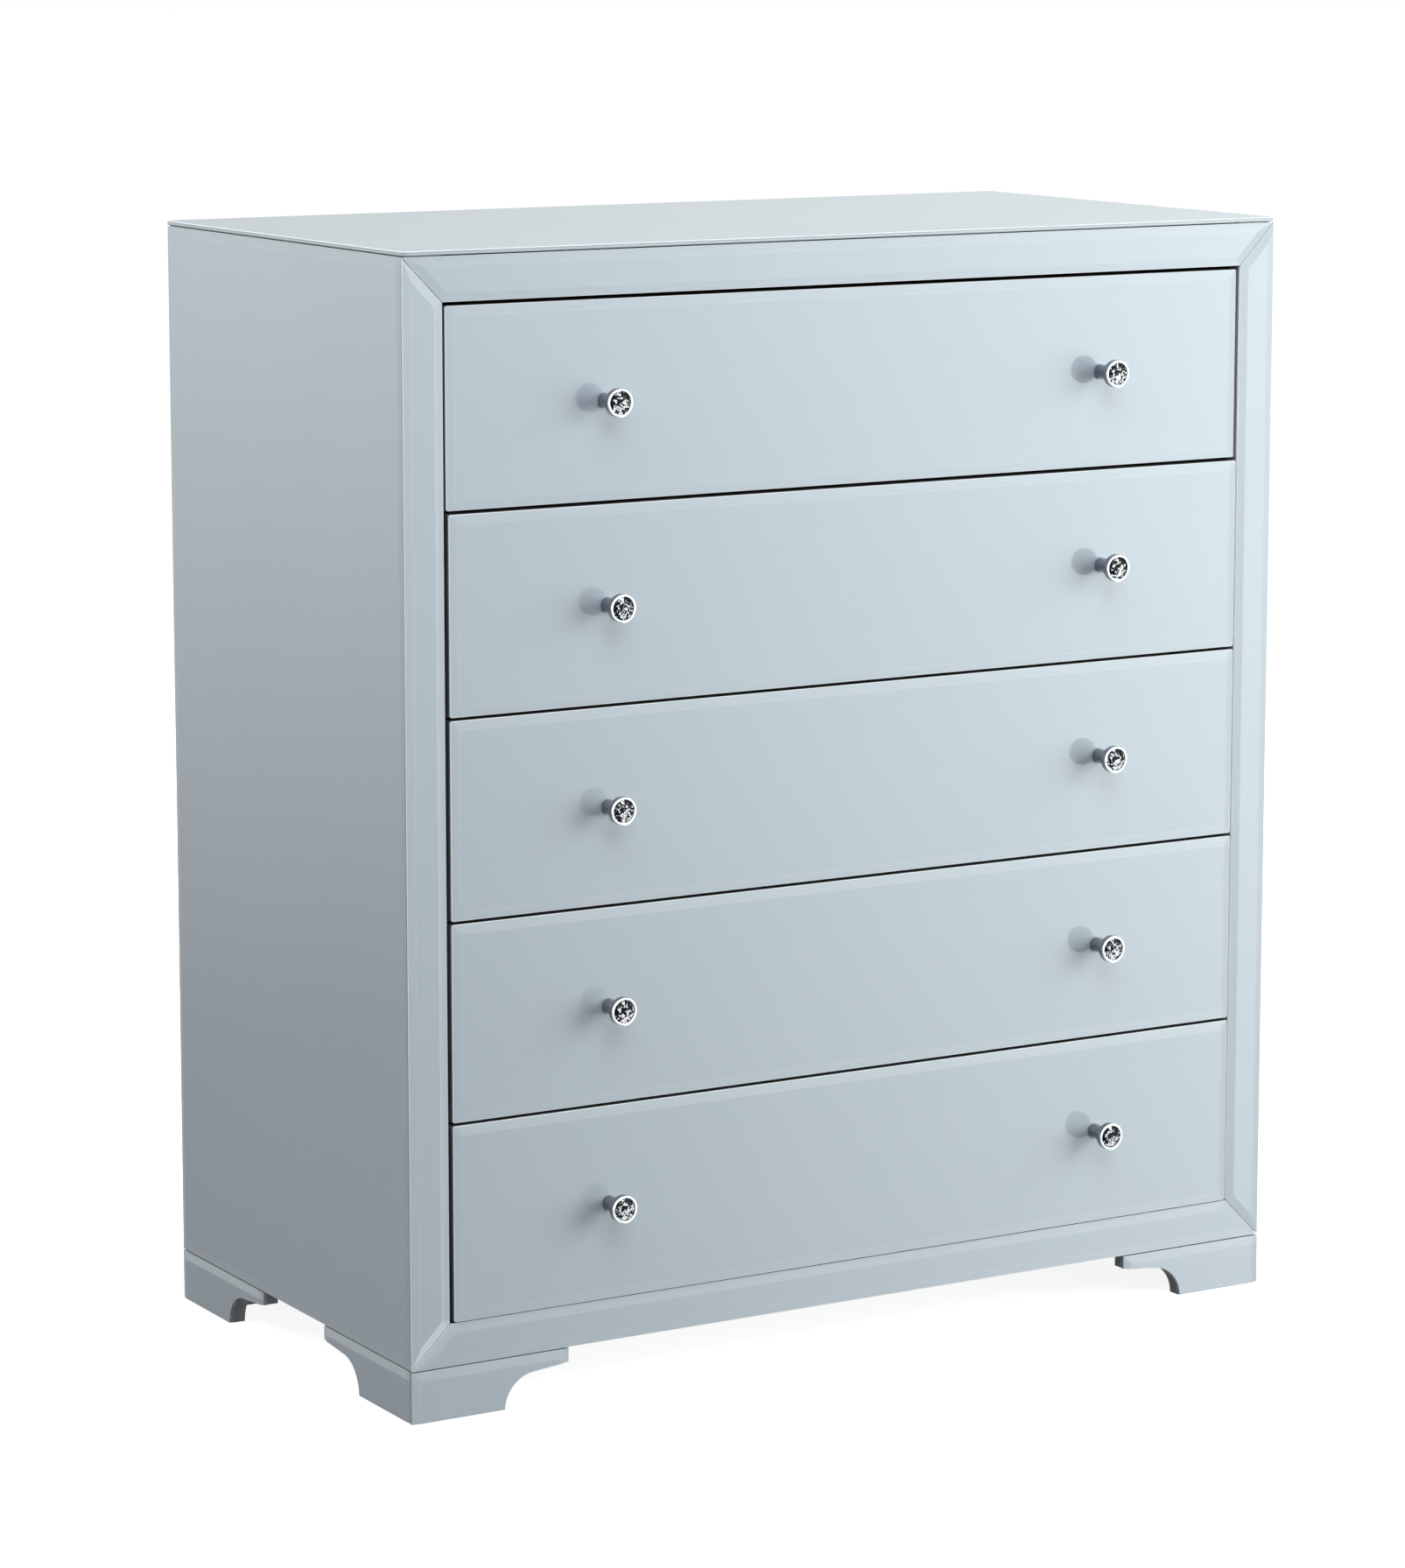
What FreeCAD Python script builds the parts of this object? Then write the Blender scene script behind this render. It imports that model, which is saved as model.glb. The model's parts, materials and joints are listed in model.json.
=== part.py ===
import FreeCAD, Part
import math
import os
import Sketcher

# Tall chest of five drawers: a board cabinet faced with bevelled glass painted on its back.
# Millimetres. X runs across the front, Y from front to back, Z up. The origin is on the
# floor, in the middle of the whole object's footprint, with the knobs counted in.

SIZES = {
    "carcase_width": 910,
    "carcase_depth": 475,
    "total_height": 1020,
    "foot_height": 47.5,
    "glass": 4,
    "pane_joint": 1,
    "bevel_width": 8,
    "bevel_depth": 1.5,
    "board": 15,
    "back_board": 4,
    "stile": 38,
    "top_rail": 40,
    "bottom_rail": 38,
    "top_gap": 3.5,
    "drawer_gap": 2.8,
    "bottom_gap": 1.5,
    "side_gap": 3.5,
    "corner_nip": 1.8,
    "drawer_proud": 2.5,
    "top_drawer_inset": 1.8,
    "box_length": 420,
    "box_height": 130,
    "box_lift": 15,
    "box_wall": 12,
    "bottom_sheet": 4,
    "groove_depth": 5,
    "groove_lift": 8,
    "groove_play": 0.3,
    "knob_spread": 520,
    "knob_length": 29,
    "knob_head": 6.5,
    "knob_radius": 12.5,
    "knob_stem_radius": 6.75,
    "knob_edge": 0.8,
    "cup_radius": 10,
    "cup_depth": 3.2,
    "crystal_radius": 9.8,
    "crystal_table": 5.6,
    "crystal_girdle": 1.2,
    "crystal_sink": 0.3,
    "knob_screw_radius": 2,
    "knob_screw_grip": 10,
    "knob_screw_head": 4,
    "knob_screw_cap": 2.4,
    "glass_hole_radius": 3,
    "thread_play": 0.1,
    "screw_play": 0.3,
    "runner_length": 400,
    "runner_height": 45,
    "runner_depth": 12.7,
    "runner_sheet": 1.2,
    "runner_flange": 9.5,
    "runner_travel": 300,
    "runner_setback": 2,
    "inner_runner_height": 35,
    "inner_runner_flange": 9.7,
    "cage_play": 0.4,
    "cage_sheet": 0.8,
    "cage_flange": 7.4,
    "cage_end_play": 2,
    "runner_screw_radius": 1.6,
    "runner_screw_head": 3.2,
    "runner_screw_length": 14,
    "runner_screw_inset": 20,
    "batten_height": 50,
    "foot_board": 12,
    "foot_front_floor": 91.5,
    "foot_front_length": 156,
    "foot_side_floor": 103.5,
    "foot_side_length": 175,
    "foot_scoop_radius": 31,
    "foot_scoop_angle": 84,
    "foot_tip": 13,
    "foot_pane_lift": 0.5,
    "foot_block": 40,
    "foot_screw_radius": 2.2,
    "foot_screw_head": 4.2,
    "foot_screw_sink": 12,
    "foot_screw_length": 46,
    "top_arris": 0.6,
    "top_corner": 2.5,
}
DRAWERS = 5

doc = FreeCAD.newDocument("chest_of_drawers")
sheet = doc.addObject("Spreadsheet::Sheet", "sizes")
nodes = []

# Expressions that several sub-parts share.
BACK_Y = "(sizes.carcase_depth + sizes.drawer_proud + sizes.knob_length) / 2"
FRONT_Y = f"({BACK_Y} - sizes.carcase_depth)"
FRAME_Y = f"({FRONT_Y} + sizes.glass)"
INSIDE_Y = f"({FRAME_Y} + sizes.board)"
INSIDE_LENGTH = "(sizes.carcase_depth - sizes.glass - sizes.board - sizes.back_board)"
OUTER_X = "(sizes.carcase_width / 2)"
PANEL_X = f"({OUTER_X} - sizes.glass - sizes.board)"
OPENING_X = f"({OUTER_X} - sizes.stile)"
BOX_X = f"({OPENING_X} - sizes.runner_depth)"
TOP_Z = "(sizes.total_height - sizes.glass)"
BODY_HEIGHT = f"({TOP_Z} - sizes.foot_height)"
PANE_HEIGHT = f"({BODY_HEIGHT} - sizes.pane_joint)"
OPENING_Z = "(sizes.foot_height + sizes.bottom_rail)"
OPENING_HEIGHT = f"({BODY_HEIGHT} - sizes.bottom_rail - sizes.top_rail)"
FRONT_WIDTH = f"(2 * ({OPENING_X} - sizes.side_gap))"
GAPS = f"(sizes.top_gap + sizes.bottom_gap + {DRAWERS - 1} * sizes.drawer_gap)"
FRONT_HEIGHT = f"(({OPENING_HEIGHT} - {GAPS}) / {DRAWERS})"
BEVEL_ANGLE = "-atan(sizes.bevel_width / sizes.bevel_depth)"
FOOT_BLOCK_X = f"-({OUTER_X} - sizes.glass - sizes.foot_board)"
FOOT_BLOCK_Y = f"({FRAME_Y} + sizes.foot_board)"
RUNNER_Y = f"({INSIDE_Y} + sizes.runner_setback)"


def value(expression):
    result = sheet.evalExpression(expression)
    return float(getattr(result, "Value", result))


def bind(item, **expressions):
    for name, expression in expressions.items():
        item.setExpression(name, expression)


def place(item, x="0", y="0", z="0"):
    for axis, expression in zip("xyz", (x, y, z)):
        item.setExpression(f"Placement.Base.{axis}", expression)


def node(item, name):
    item.Label = name
    nodes.append(item)
    return item


def new_body(name):
    return doc.addObject("PartDesign::Body", name)


def sketch_on(body, role, lift="0"):
    sketch = body.newObject("Sketcher::SketchObject", "outline")
    plane = [item for item in body.Origin.OriginFeatures if item.Role == role][0]
    sketch.AttachmentSupport = (plane, [""])
    sketch.MapMode = "FlatFace"
    sketch.setExpression("AttachmentOffset.Base.z", lift)
    return sketch


def fix_along(sketch, kind, geometry, end, expression):
    rule = Sketcher.Constraint(kind, -1, 1, geometry, end, value(expression))
    index = sketch.addConstraint(rule)
    sketch.setExpression(f"Constraints[{index}]", expression)


def fix_point(sketch, geometry, end, x, y):
    fix_along(sketch, "DistanceX", geometry, end, x)
    fix_along(sketch, "DistanceY", geometry, end, y)


def draw_outline(sketch, corners):
    points = [FreeCAD.Vector(value(x), value(y), 0) for x, y in corners]
    lines = []
    for start, end in zip(points, points[1:] + points[:1]):
        lines.append(sketch.addGeometry(Part.LineSegment(start, end), False))
    for line, following in zip(lines, lines[1:] + lines[:1]):
        sketch.addConstraint(Sketcher.Constraint("Coincident", line, 2, following, 1))
    for line, (x, y) in zip(lines, corners):
        fix_point(sketch, line, 1, x, y)


def draw_rectangle(sketch, x, y, width, height):
    right = f"({x}) + ({width})"
    top = f"({y}) + ({height})"
    draw_outline(sketch, [(x, y), (right, y), (right, top), (x, top)])


def draw_circle(sketch, x, y, radius):
    centre = FreeCAD.Vector(value(x), value(y), 0)
    circle = Part.Circle(centre, FreeCAD.Vector(0, 0, 1), value(radius))
    index = sketch.addGeometry(circle, False)
    fix_point(sketch, index, 3, x, y)
    rule = sketch.addConstraint(Sketcher.Constraint("Radius", index, value(radius)))
    sketch.setExpression(f"Constraints[{rule}]", radius)


def pad(body, sketch, length, towards_normal=True, taper=None):
    feature = body.newObject("PartDesign::Pad", "pad")
    feature.Profile = sketch
    feature.Reversed = not towards_normal
    bind(feature, Length=length)
    if taper:
        bind(feature, TaperAngle=taper)
    body.Tip = feature
    return feature


def cut_through(body, sketch):
    feature = body.newObject("PartDesign::Pocket", "cut")
    feature.Profile = sketch
    feature.Type = "ThroughAll"
    feature.Midplane = True
    body.Tip = feature


def cut_into(body, sketch, depth):
    # A pocket on the side that the sketch's normal points to.
    feature = body.newObject("PartDesign::Pocket", "recess")
    feature.Profile = sketch
    feature.Reversed = True
    bind(feature, Length=depth)
    body.Tip = feature


def revolve(body, corners, role, axis):
    sketch = sketch_on(body, role)
    draw_outline(sketch, corners)
    feature = body.newObject("PartDesign::Revolution", "turned")
    feature.Profile = sketch
    feature.ReferenceAxis = (sketch, [axis])
    feature.Angle = 360
    body.Tip = feature


def mirrored(source, name):
    # The same piece on the other side of the cabinet's middle, X = 0.
    item = doc.addObject("Part::Mirroring", name)
    item.Source = source
    item.Normal = (1, 0, 0)
    return item


def mirrored_to_back(source, name):
    item = doc.addObject("Part::Mirroring", name)
    item.Source = source
    item.Normal = (0, 1, 0)
    item.setExpression("Base.y", f"{BACK_Y} - sizes.carcase_depth / 2")
    return item


def group(name, members):
    item = doc.addObject("Part::Compound", name)
    item.Links = members
    return item


def board(name, corner, extent):
    item = doc.addObject("Part::Box", name)
    bind(item, Length=extent[0], Width=extent[1], Height=extent[2])
    place(item, *corner)
    return item


def bevelled_pane(name, role, corners, corner, outward=True):
    # A straight-sided plate for the glass behind the bevel, then a tapered one for the
    # bevel itself. The sketch's normal is the pane's outward side.
    body = new_body(name)
    plate = "sizes.glass - sizes.bevel_depth"
    back = sketch_on(body, role)
    draw_outline(back, corners)
    pad(body, back, plate, outward)
    front = sketch_on(body, role, plate if outward else f"-({plate})")
    draw_outline(front, corners)
    pad(body, front, "sizes.bevel_depth", outward, BEVEL_ANGLE)
    place(body, *corner)
    return body


# The cabinet's boards.


def cabinet_boards():
    side = board("side", (PANEL_X, INSIDE_Y, "sizes.foot_height"),
                 ("sizes.board", f"sizes.carcase_depth - sizes.glass - sizes.board", BODY_HEIGHT))
    node(mirrored(side, "left_side"), "left_side_panel")
    node(side, "right_side_panel")
    width = f"2 * {PANEL_X}"
    top = board("top", (f"-{PANEL_X}", INSIDE_Y, f"{TOP_Z} - sizes.board"),
                (width, INSIDE_LENGTH, "sizes.board"))
    node(top, "top_panel")
    bottom = board("bottom", (f"-{PANEL_X}", INSIDE_Y, "sizes.foot_height"),
                   (width, INSIDE_LENGTH, "sizes.board"))
    node(bottom, "bottom_panel")
    back = board("back", (f"-{PANEL_X}", f"{BACK_Y} - sizes.back_board", "sizes.foot_height"),
                 (width, "sizes.back_board", BODY_HEIGHT))
    node(back, "back_panel")


def face_frame():
    stile = board("stile", (OPENING_X, FRAME_Y, "sizes.foot_height"),
                  ("sizes.stile - sizes.glass", "sizes.board", BODY_HEIGHT))
    opening = f"2 * {OPENING_X}"
    top = board("top_rail", (f"-{OPENING_X}", FRAME_Y, f"{TOP_Z} - sizes.top_rail"),
                (opening, "sizes.board", "sizes.top_rail"))
    bottom = board("bottom_rail", (f"-{OPENING_X}", FRAME_Y, "sizes.foot_height"),
                   (opening, "sizes.board", "sizes.bottom_rail"))
    node(group("frame", [stile, mirrored(stile, "left_stile"), top, bottom]), "face_frame")


# The cabinet's glass.


def top_glass():
    body = new_body("top")
    sketch = sketch_on(body, "XY_Plane")
    draw_rectangle(sketch, "0", "0", "sizes.carcase_width", "sizes.carcase_depth")
    sheet_pad = pad(body, sketch, "sizes.glass")
    doc.recompute()
    upright = []
    for index, edge in enumerate(sheet_pad.Shape.Edges, 1):
        if edge.BoundBox.ZLength > value("sizes.glass") / 2:
            upright.append(f"Edge{index}")
    rounded = body.newObject("PartDesign::Fillet", "corners")
    rounded.Base = (sheet_pad, upright)
    bind(rounded, Radius="sizes.top_corner")
    doc.recompute()
    heights = [face.CenterOfMass.z for face in rounded.Shape.Faces]
    upper = heights.index(max(heights)) + 1
    arris = body.newObject("PartDesign::Chamfer", "arris")
    arris.Base = (rounded, [f"Face{upper}"])
    bind(arris, Size="sizes.top_arris")
    body.Tip = arris
    place(body, f"-{OUTER_X}", FRONT_Y, TOP_Z)
    node(body, "top_glass")


def side_glass():
    length = "sizes.carcase_depth - sizes.glass"
    corners = [("0", "0"), (length, "0"), (length, PANE_HEIGHT), ("0", PANE_HEIGHT)]
    pane = bevelled_pane("side_pane", "YZ_Plane", corners,
                         (f"{OUTER_X} - sizes.glass", FRAME_Y, "sizes.foot_height"))
    node(mirrored(pane, "left_pane"), "left_side_glass")
    node(pane, "right_side_glass")


def frame_glass():
    # Four strips that meet on mitres, each held back from the mitre by half of the joint.
    half = "sizes.pane_joint / 2"
    width = "sizes.carcase_width"
    strip = "(sizes.top_rail - sizes.pane_joint)"
    top = [(half, strip), (f"{width} - {half}", strip),
           (f"{width} - sizes.stile - {half}", "0"), (f"sizes.stile + {half}", "0")]
    bottom = [(half, "0"), (f"{width} - {half}", "0"),
              (f"{width} - sizes.stile - {half}", "sizes.bottom_rail"),
              (f"sizes.stile + {half}", "sizes.bottom_rail")]
    upright = [("sizes.stile", half), ("sizes.stile", f"{PANE_HEIGHT} - {half}"),
               ("0", f"{BODY_HEIGHT} - sizes.top_rail - {half}"),
               ("0", f"sizes.bottom_rail + {half}")]
    rails = [bevelled_pane("top_strip", "XZ_Plane", top,
                           (f"-{OUTER_X}", FRAME_Y, f"{TOP_Z} - sizes.top_rail")),
             bevelled_pane("bottom_strip", "XZ_Plane", bottom,
                           (f"-{OUTER_X}", FRAME_Y, "sizes.foot_height"))]
    stile = bevelled_pane("right_strip", "XZ_Plane", upright,
                          (OPENING_X, FRAME_Y, "sizes.foot_height"))
    node(group("rails", rails), "rail_glass")
    node(group("stiles", [stile, mirrored(stile, "left_strip")]), "stile_glass")


# The four feet. Each is two boards mitred at the corner, with a block glued inside it.


def draw_foot(sketch, floor, length, base="0", top="sizes.foot_height"):
    # Up the outer end, along the top and down the tip, then back under the arm: a nearly
    # level stretch, the round scoop and the flat that stands on the floor.
    radius = value("sizes.foot_scoop_radius")
    angle = "sizes.foot_scoop_angle"
    scoop_x = f"{floor} + sizes.foot_scoop_radius * (1 - cos({angle}))"
    scoop_z = f"sizes.foot_scoop_radius * sin({angle})"
    tip_z = "sizes.foot_height - sizes.foot_tip"
    corners = [("0", base), ("0", top), (length, top), (length, tip_z), (scoop_x, scoop_z)]
    points = [FreeCAD.Vector(value(x), value(z), 0) for x, z in corners]
    sides = [sketch.addGeometry(Part.LineSegment(start, end), False)
             for start, end in zip(points, points[1:])]
    centre = FreeCAD.Vector(value(floor) + radius, 0, 0)
    circle = Part.Circle(centre, FreeCAD.Vector(0, 0, 1), radius)
    start_angle = math.pi - math.radians(value(angle))
    end_angle = math.pi - math.asin(value(base) / radius)
    scoop = sketch.addGeometry(Part.ArcOfCircle(circle, start_angle, end_angle), False)
    heel = FreeCAD.Vector(value(floor), value(base), 0)
    floor_side = sketch.addGeometry(Part.LineSegment(heel, points[0]), False)
    loop = sides + [scoop, floor_side]
    for item, following in zip(loop, loop[1:] + loop[:1]):
        sketch.addConstraint(Sketcher.Constraint("Coincident", item, 2, following, 1))
    for side, (x, z) in zip(sides, corners):
        fix_point(sketch, side, 1, x, z)
    fix_point(sketch, scoop, 3, f"{floor} + sizes.foot_scoop_radius", "0")
    fix_along(sketch, "DistanceX", scoop, 1, scoop_x)
    fix_along(sketch, "DistanceY", scoop, 2, base)
    rule = sketch.addConstraint(Sketcher.Constraint("Radius", scoop, radius))
    sketch.setExpression(f"Constraints[{rule}]", "sizes.foot_scoop_radius")


def foot_arm(name, role, floor, length, mitre):
    # The arm runs from the corner; mitre is the plan of the piece cut off its end.
    body = new_body(name)
    outline = sketch_on(body, role)
    draw_foot(outline, f"({floor} - sizes.glass)", f"{length} - sizes.glass")
    pad(body, outline, "sizes.foot_board", role == "YZ_Plane")
    cut = sketch_on(body, "XY_Plane")
    draw_outline(cut, mitre)
    cut_through(body, cut)
    place(body, f"-({OUTER_X} - sizes.glass)", FRAME_Y)
    return body


def foot_screw_spots():
    near = "sizes.foot_block / 4"
    far = "sizes.foot_block * 3 / 4"
    return [(near, far), (far, near)]


def foot_block():
    body = new_body("block")
    base = sketch_on(body, "XY_Plane")
    draw_rectangle(base, "0", "0", "sizes.foot_block", "sizes.foot_block")
    pad(body, base, "sizes.foot_height")
    shanks = sketch_on(body, "XY_Plane")
    heads = sketch_on(body, "XY_Plane")
    for x, y in foot_screw_spots():
        draw_circle(shanks, x, y, "sizes.foot_screw_radius + sizes.thread_play")
        draw_circle(heads, x, y, "sizes.foot_screw_head + sizes.screw_play")
    cut_through(body, shanks)
    cut_into(body, heads, "sizes.foot_screw_sink")
    place(body, FOOT_BLOCK_X, FOOT_BLOCK_Y)
    return body


def feet():
    thick = "sizes.foot_board"
    front = foot_arm("front_arm", "XZ_Plane", "sizes.foot_front_floor", "sizes.foot_front_length",
                     [("0", "0"), (thick, thick), ("0", thick)])
    side = foot_arm("side_arm", "YZ_Plane", "sizes.foot_side_floor", "sizes.foot_side_length",
                    [("0", "0"), (thick, "0"), (thick, thick)])
    front_left = group("front_foot", [front, side, foot_block()])
    rear_left = mirrored_to_back(front_left, "rear_foot")
    node(mirrored(front_left, "front_mirror"), "front_right_foot")
    node(mirrored(rear_left, "rear_mirror"), "rear_right_foot")
    node(front_left, "front_left_foot")
    node(rear_left, "rear_left_foot")


def foot_pane(name, role, floor, length, y):
    body = new_body(name)
    outline = sketch_on(body, role)
    draw_foot(outline, floor, length, "sizes.foot_pane_lift", "sizes.foot_height - sizes.pane_joint")
    pad(body, outline, "sizes.glass", role == "YZ_Plane")
    place(body, f"-{OUTER_X}", y)
    return body


def foot_glass():
    # A pane on each front face and each side face; the rear arms stay bare board.
    front = foot_pane("front_pane", "XZ_Plane", "sizes.foot_front_floor",
                      "sizes.foot_front_length", FRONT_Y)
    side = foot_pane("side_pane", "YZ_Plane", "(sizes.foot_side_floor - sizes.glass)",
                     "sizes.foot_side_length - sizes.glass", FRAME_Y)
    rear = foot_pane("full_side_pane", "YZ_Plane", "sizes.foot_side_floor",
                     "sizes.foot_side_length", FRONT_Y)
    left = group("left_panes", [front, side, mirrored_to_back(rear, "rear_pane")])
    node(group("foot_panes", [left, mirrored(left, "right_panes")]), "foot_glass")


def foot_screws():
    radius = "sizes.foot_screw_radius"
    head = "sizes.foot_screw_head"
    screws = []
    for x, y in foot_screw_spots():
        screw = new_body("foot_screw")
        revolve(screw, [("0", "0"), (head, "0"), (radius, f"{head} - {radius}"),
                        (radius, "sizes.foot_screw_length"), ("0", "sizes.foot_screw_length")],
                "XZ_Plane", "V_Axis")
        place(screw, f"{FOOT_BLOCK_X} + {x}", f"{FOOT_BLOCK_Y} + {y}",
              f"sizes.foot_screw_sink - {head} + {radius}")
        screws.append(screw)
    front = group("front_screws", screws)
    left = group("left_screws", [front, mirrored_to_back(front, "rear_screws")])
    node(group("all_foot_screws", [left, mirrored(left, "right_screws")]), "foot_screws")


# The runners: a channel on the cabinet, a smaller one on the drawer inside it, and a ball
# cage between their flanges that travels half as far as the drawer.


def drawer_z(number):
    below = f"{DRAWERS - number} * ({FRONT_HEIGHT} + sizes.drawer_gap)"
    return f"({OPENING_Z} + sizes.bottom_gap + {below})"


def face_y(number):
    # The top drawer closes a little further in than the others.
    if number == 1:
        return f"({FRONT_Y} + sizes.top_drawer_inset)"
    return f"({FRONT_Y} - sizes.drawer_proud)"


def runner_z(number):
    rise = "sizes.box_lift + (sizes.box_height - sizes.runner_height) / 2"
    return f"({drawer_z(number)} + {rise})"


def channel(name, web, tip, low, sheet_size, flange_size, length):
    # A C section: web is the X of the web's outer face, tip the X of the flange tips, and
    # low the height of the lower flange. It is the same above and below mid height.
    high = f"(sizes.runner_height - {low})"
    sign = "+" if value(tip) > value(web) else "-"
    inner = f"{web} {sign} {sheet_size}"
    body = new_body(name)
    sketch = sketch_on(body, "XZ_Plane")
    draw_outline(sketch, [(web, low), (tip, low), (tip, f"{low} + {flange_size}"),
                          (inner, f"{low} + {flange_size}"), (inner, f"{high} - {flange_size}"),
                          (tip, f"{high} - {flange_size}"), (tip, high), (web, high)])
    pad(body, sketch, length, False)
    return body


def runner_screw_spots():
    return ["sizes.runner_screw_inset", "sizes.runner_length - sizes.runner_screw_inset"]


def cabinet_runner(number):
    body = channel("cabinet_runner", "sizes.runner_depth",
                   "sizes.runner_depth - sizes.runner_flange", "0",
                   "sizes.runner_sheet", "sizes.runner_sheet", "sizes.runner_length")
    holes = sketch_on(body, "YZ_Plane")
    radius = "sizes.runner_screw_head + sizes.thread_play"
    for spot in runner_screw_spots():
        draw_circle(holes, spot, "sizes.runner_height / 2", radius)
    cut_through(body, holes)
    place(body, BOX_X, RUNNER_Y, runner_z(number))
    return body


def cabinet_runners():
    right = group("right_runners", [cabinet_runner(n) for n in range(1, DRAWERS + 1)])
    node(group("all_runners", [right, mirrored(right, "left_runners")]), "cabinet_runners")


def runner_battens():
    battens = []
    for number in range(1, DRAWERS + 1):
        middle = f"{runner_z(number)} + sizes.runner_height / 2"
        battens.append(board("batten",
                             (OPENING_X, INSIDE_Y, f"{middle} - sizes.batten_height / 2"),
                             (f"{PANEL_X} - {OPENING_X}", INSIDE_LENGTH, "sizes.batten_height")))
    right = group("right_battens", battens)
    node(group("all_battens", [right, mirrored(right, "left_battens")]), "runner_battens")


def runner_screw(number, spot):
    head = "sizes.runner_screw_head"
    radius = "sizes.runner_screw_radius"
    screw = new_body("runner_screw")
    revolve(screw, [("0", "0"), ("0", head), ("sizes.runner_sheet", head),
                    ("sizes.runner_sheet", radius), ("sizes.runner_screw_length", radius),
                    ("sizes.runner_screw_length", "0")], "XY_Plane", "H_Axis")
    place(screw, f"{OPENING_X} - sizes.runner_sheet", f"{RUNNER_Y} + {spot}",
          f"{runner_z(number)} + sizes.runner_height / 2")
    return screw


def runner_screws():
    screws = [runner_screw(number, spot)
              for number in range(1, DRAWERS + 1) for spot in runner_screw_spots()]
    right = group("right_runner_screws", screws)
    node(group("all_screws", [right, mirrored(right, "left_runner_screws")]), "runner_screws")


# One drawer: its faced front, its box, its knobs and its halves of the runners.


def knob_spots():
    middle = f"{FRONT_WIDTH} / 2"
    return [(f"{middle} - sizes.knob_spread / 2", f"{FRONT_HEIGHT} / 2"),
            (f"{middle} + sizes.knob_spread / 2", f"{FRONT_HEIGHT} / 2")]


def front_glass(number):
    corners = [("0", "0"), (FRONT_WIDTH, "0"), (FRONT_WIDTH, FRONT_HEIGHT), ("0", FRONT_HEIGHT)]
    body = bevelled_pane("pane", "XZ_Plane", corners,
                         (f"-{FRONT_WIDTH} / 2", f"{face_y(number)} + sizes.glass",
                          drawer_z(number)))
    holes = sketch_on(body, "XZ_Plane")
    for x, z in knob_spots():
        draw_circle(holes, x, z, "sizes.glass_hole_radius")
    cut_through(body, holes)
    nips = sketch_on(body, "XZ_Plane")
    nip = "sizes.corner_nip"
    for x, inward_x in (("0", nip), (FRONT_WIDTH, f"{FRONT_WIDTH} - {nip}")):
        for z, inward_z in (("0", nip), (FRONT_HEIGHT, f"{FRONT_HEIGHT} - {nip}")):
            draw_outline(nips, [(x, z), (inward_x, z), (x, inward_z)])
    cut_through(body, nips)
    node(body, f"drawer_{number}_front_glass")


def groove(body, start_x, length, low_y, width, low_z):
    # A slot for the bottom sheet, cut along X.
    sketch = sketch_on(body, "YZ_Plane", start_x)
    draw_rectangle(sketch, low_y, low_z, width, "sizes.bottom_sheet + sizes.groove_play")
    cut_into(body, sketch, length)


def front_board(number):
    body = new_body("front")
    sketch = sketch_on(body, "XZ_Plane")
    draw_rectangle(sketch, "0", "0", FRONT_WIDTH, FRONT_HEIGHT)
    pad(body, sketch, "sizes.board", False)
    holes = sketch_on(body, "XZ_Plane")
    for x, z in knob_spots():
        draw_circle(holes, x, z, "sizes.knob_screw_radius + sizes.screw_play")
    cut_through(body, holes)
    inside = f"({BOX_X} - sizes.box_wall)"
    groove(body, f"{FRONT_WIDTH} / 2 - {inside}", f"2 * {inside}",
           "sizes.board - sizes.groove_depth", "sizes.groove_depth",
           "sizes.box_lift + sizes.groove_lift")
    place(body, f"-{FRONT_WIDTH} / 2", f"{face_y(number)} + sizes.glass", drawer_z(number))
    node(body, f"drawer_{number}_front_board")


def box_walls(number):
    start_y = f"({face_y(number)} + sizes.glass + sizes.board)"
    low_z = f"({drawer_z(number)} + sizes.box_lift)"
    side = new_body("box_side")
    sketch = sketch_on(side, "YZ_Plane")
    draw_rectangle(sketch, "0", "0", "sizes.box_length", "sizes.box_height")
    pad(side, sketch, "sizes.box_wall")
    groove(side, "0", "sizes.groove_depth", "0", "sizes.box_length", "sizes.groove_lift")
    place(side, f"{BOX_X} - sizes.box_wall", start_y, low_z)
    above = "(sizes.groove_lift + sizes.bottom_sheet + sizes.groove_play)"
    back = board("box_back",
                 (f"-({BOX_X} - sizes.box_wall)",
                  f"{start_y} + sizes.box_length - sizes.box_wall", f"{low_z} + {above}"),
                 (f"2 * ({BOX_X} - sizes.box_wall)", "sizes.box_wall",
                  f"sizes.box_height - {above}"))
    walls = group("walls", [side, mirrored(side, "left_box_side"), back])
    node(walls, f"drawer_{number}_box_walls")


def box_bottom(number):
    half = f"({BOX_X} - sizes.box_wall + sizes.groove_depth - sizes.groove_play)"
    inside = f"({BOX_X} - sizes.box_wall)"
    tongue = "(sizes.groove_depth - sizes.groove_play)"
    start_y = f"{face_y(number)} + sizes.glass + sizes.board"
    rest_z = f"{drawer_z(number)} + sizes.box_lift + sizes.groove_lift"
    main = board("sheet", (f"-{half}", start_y, rest_z),
                 (f"2 * {half}", "sizes.box_length", "sizes.bottom_sheet"))
    lip = board("front_tongue", (f"-{inside} + sizes.groove_play", f"{start_y} - {tongue}", rest_z),
                (f"2 * ({inside} - sizes.groove_play)", tongue, "sizes.bottom_sheet"))
    joined = doc.addObject("Part::MultiFuse", "bottom")
    joined.Shapes = [main, lip]
    joined.Refine = True
    node(joined, f"drawer_{number}_bottom")


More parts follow.
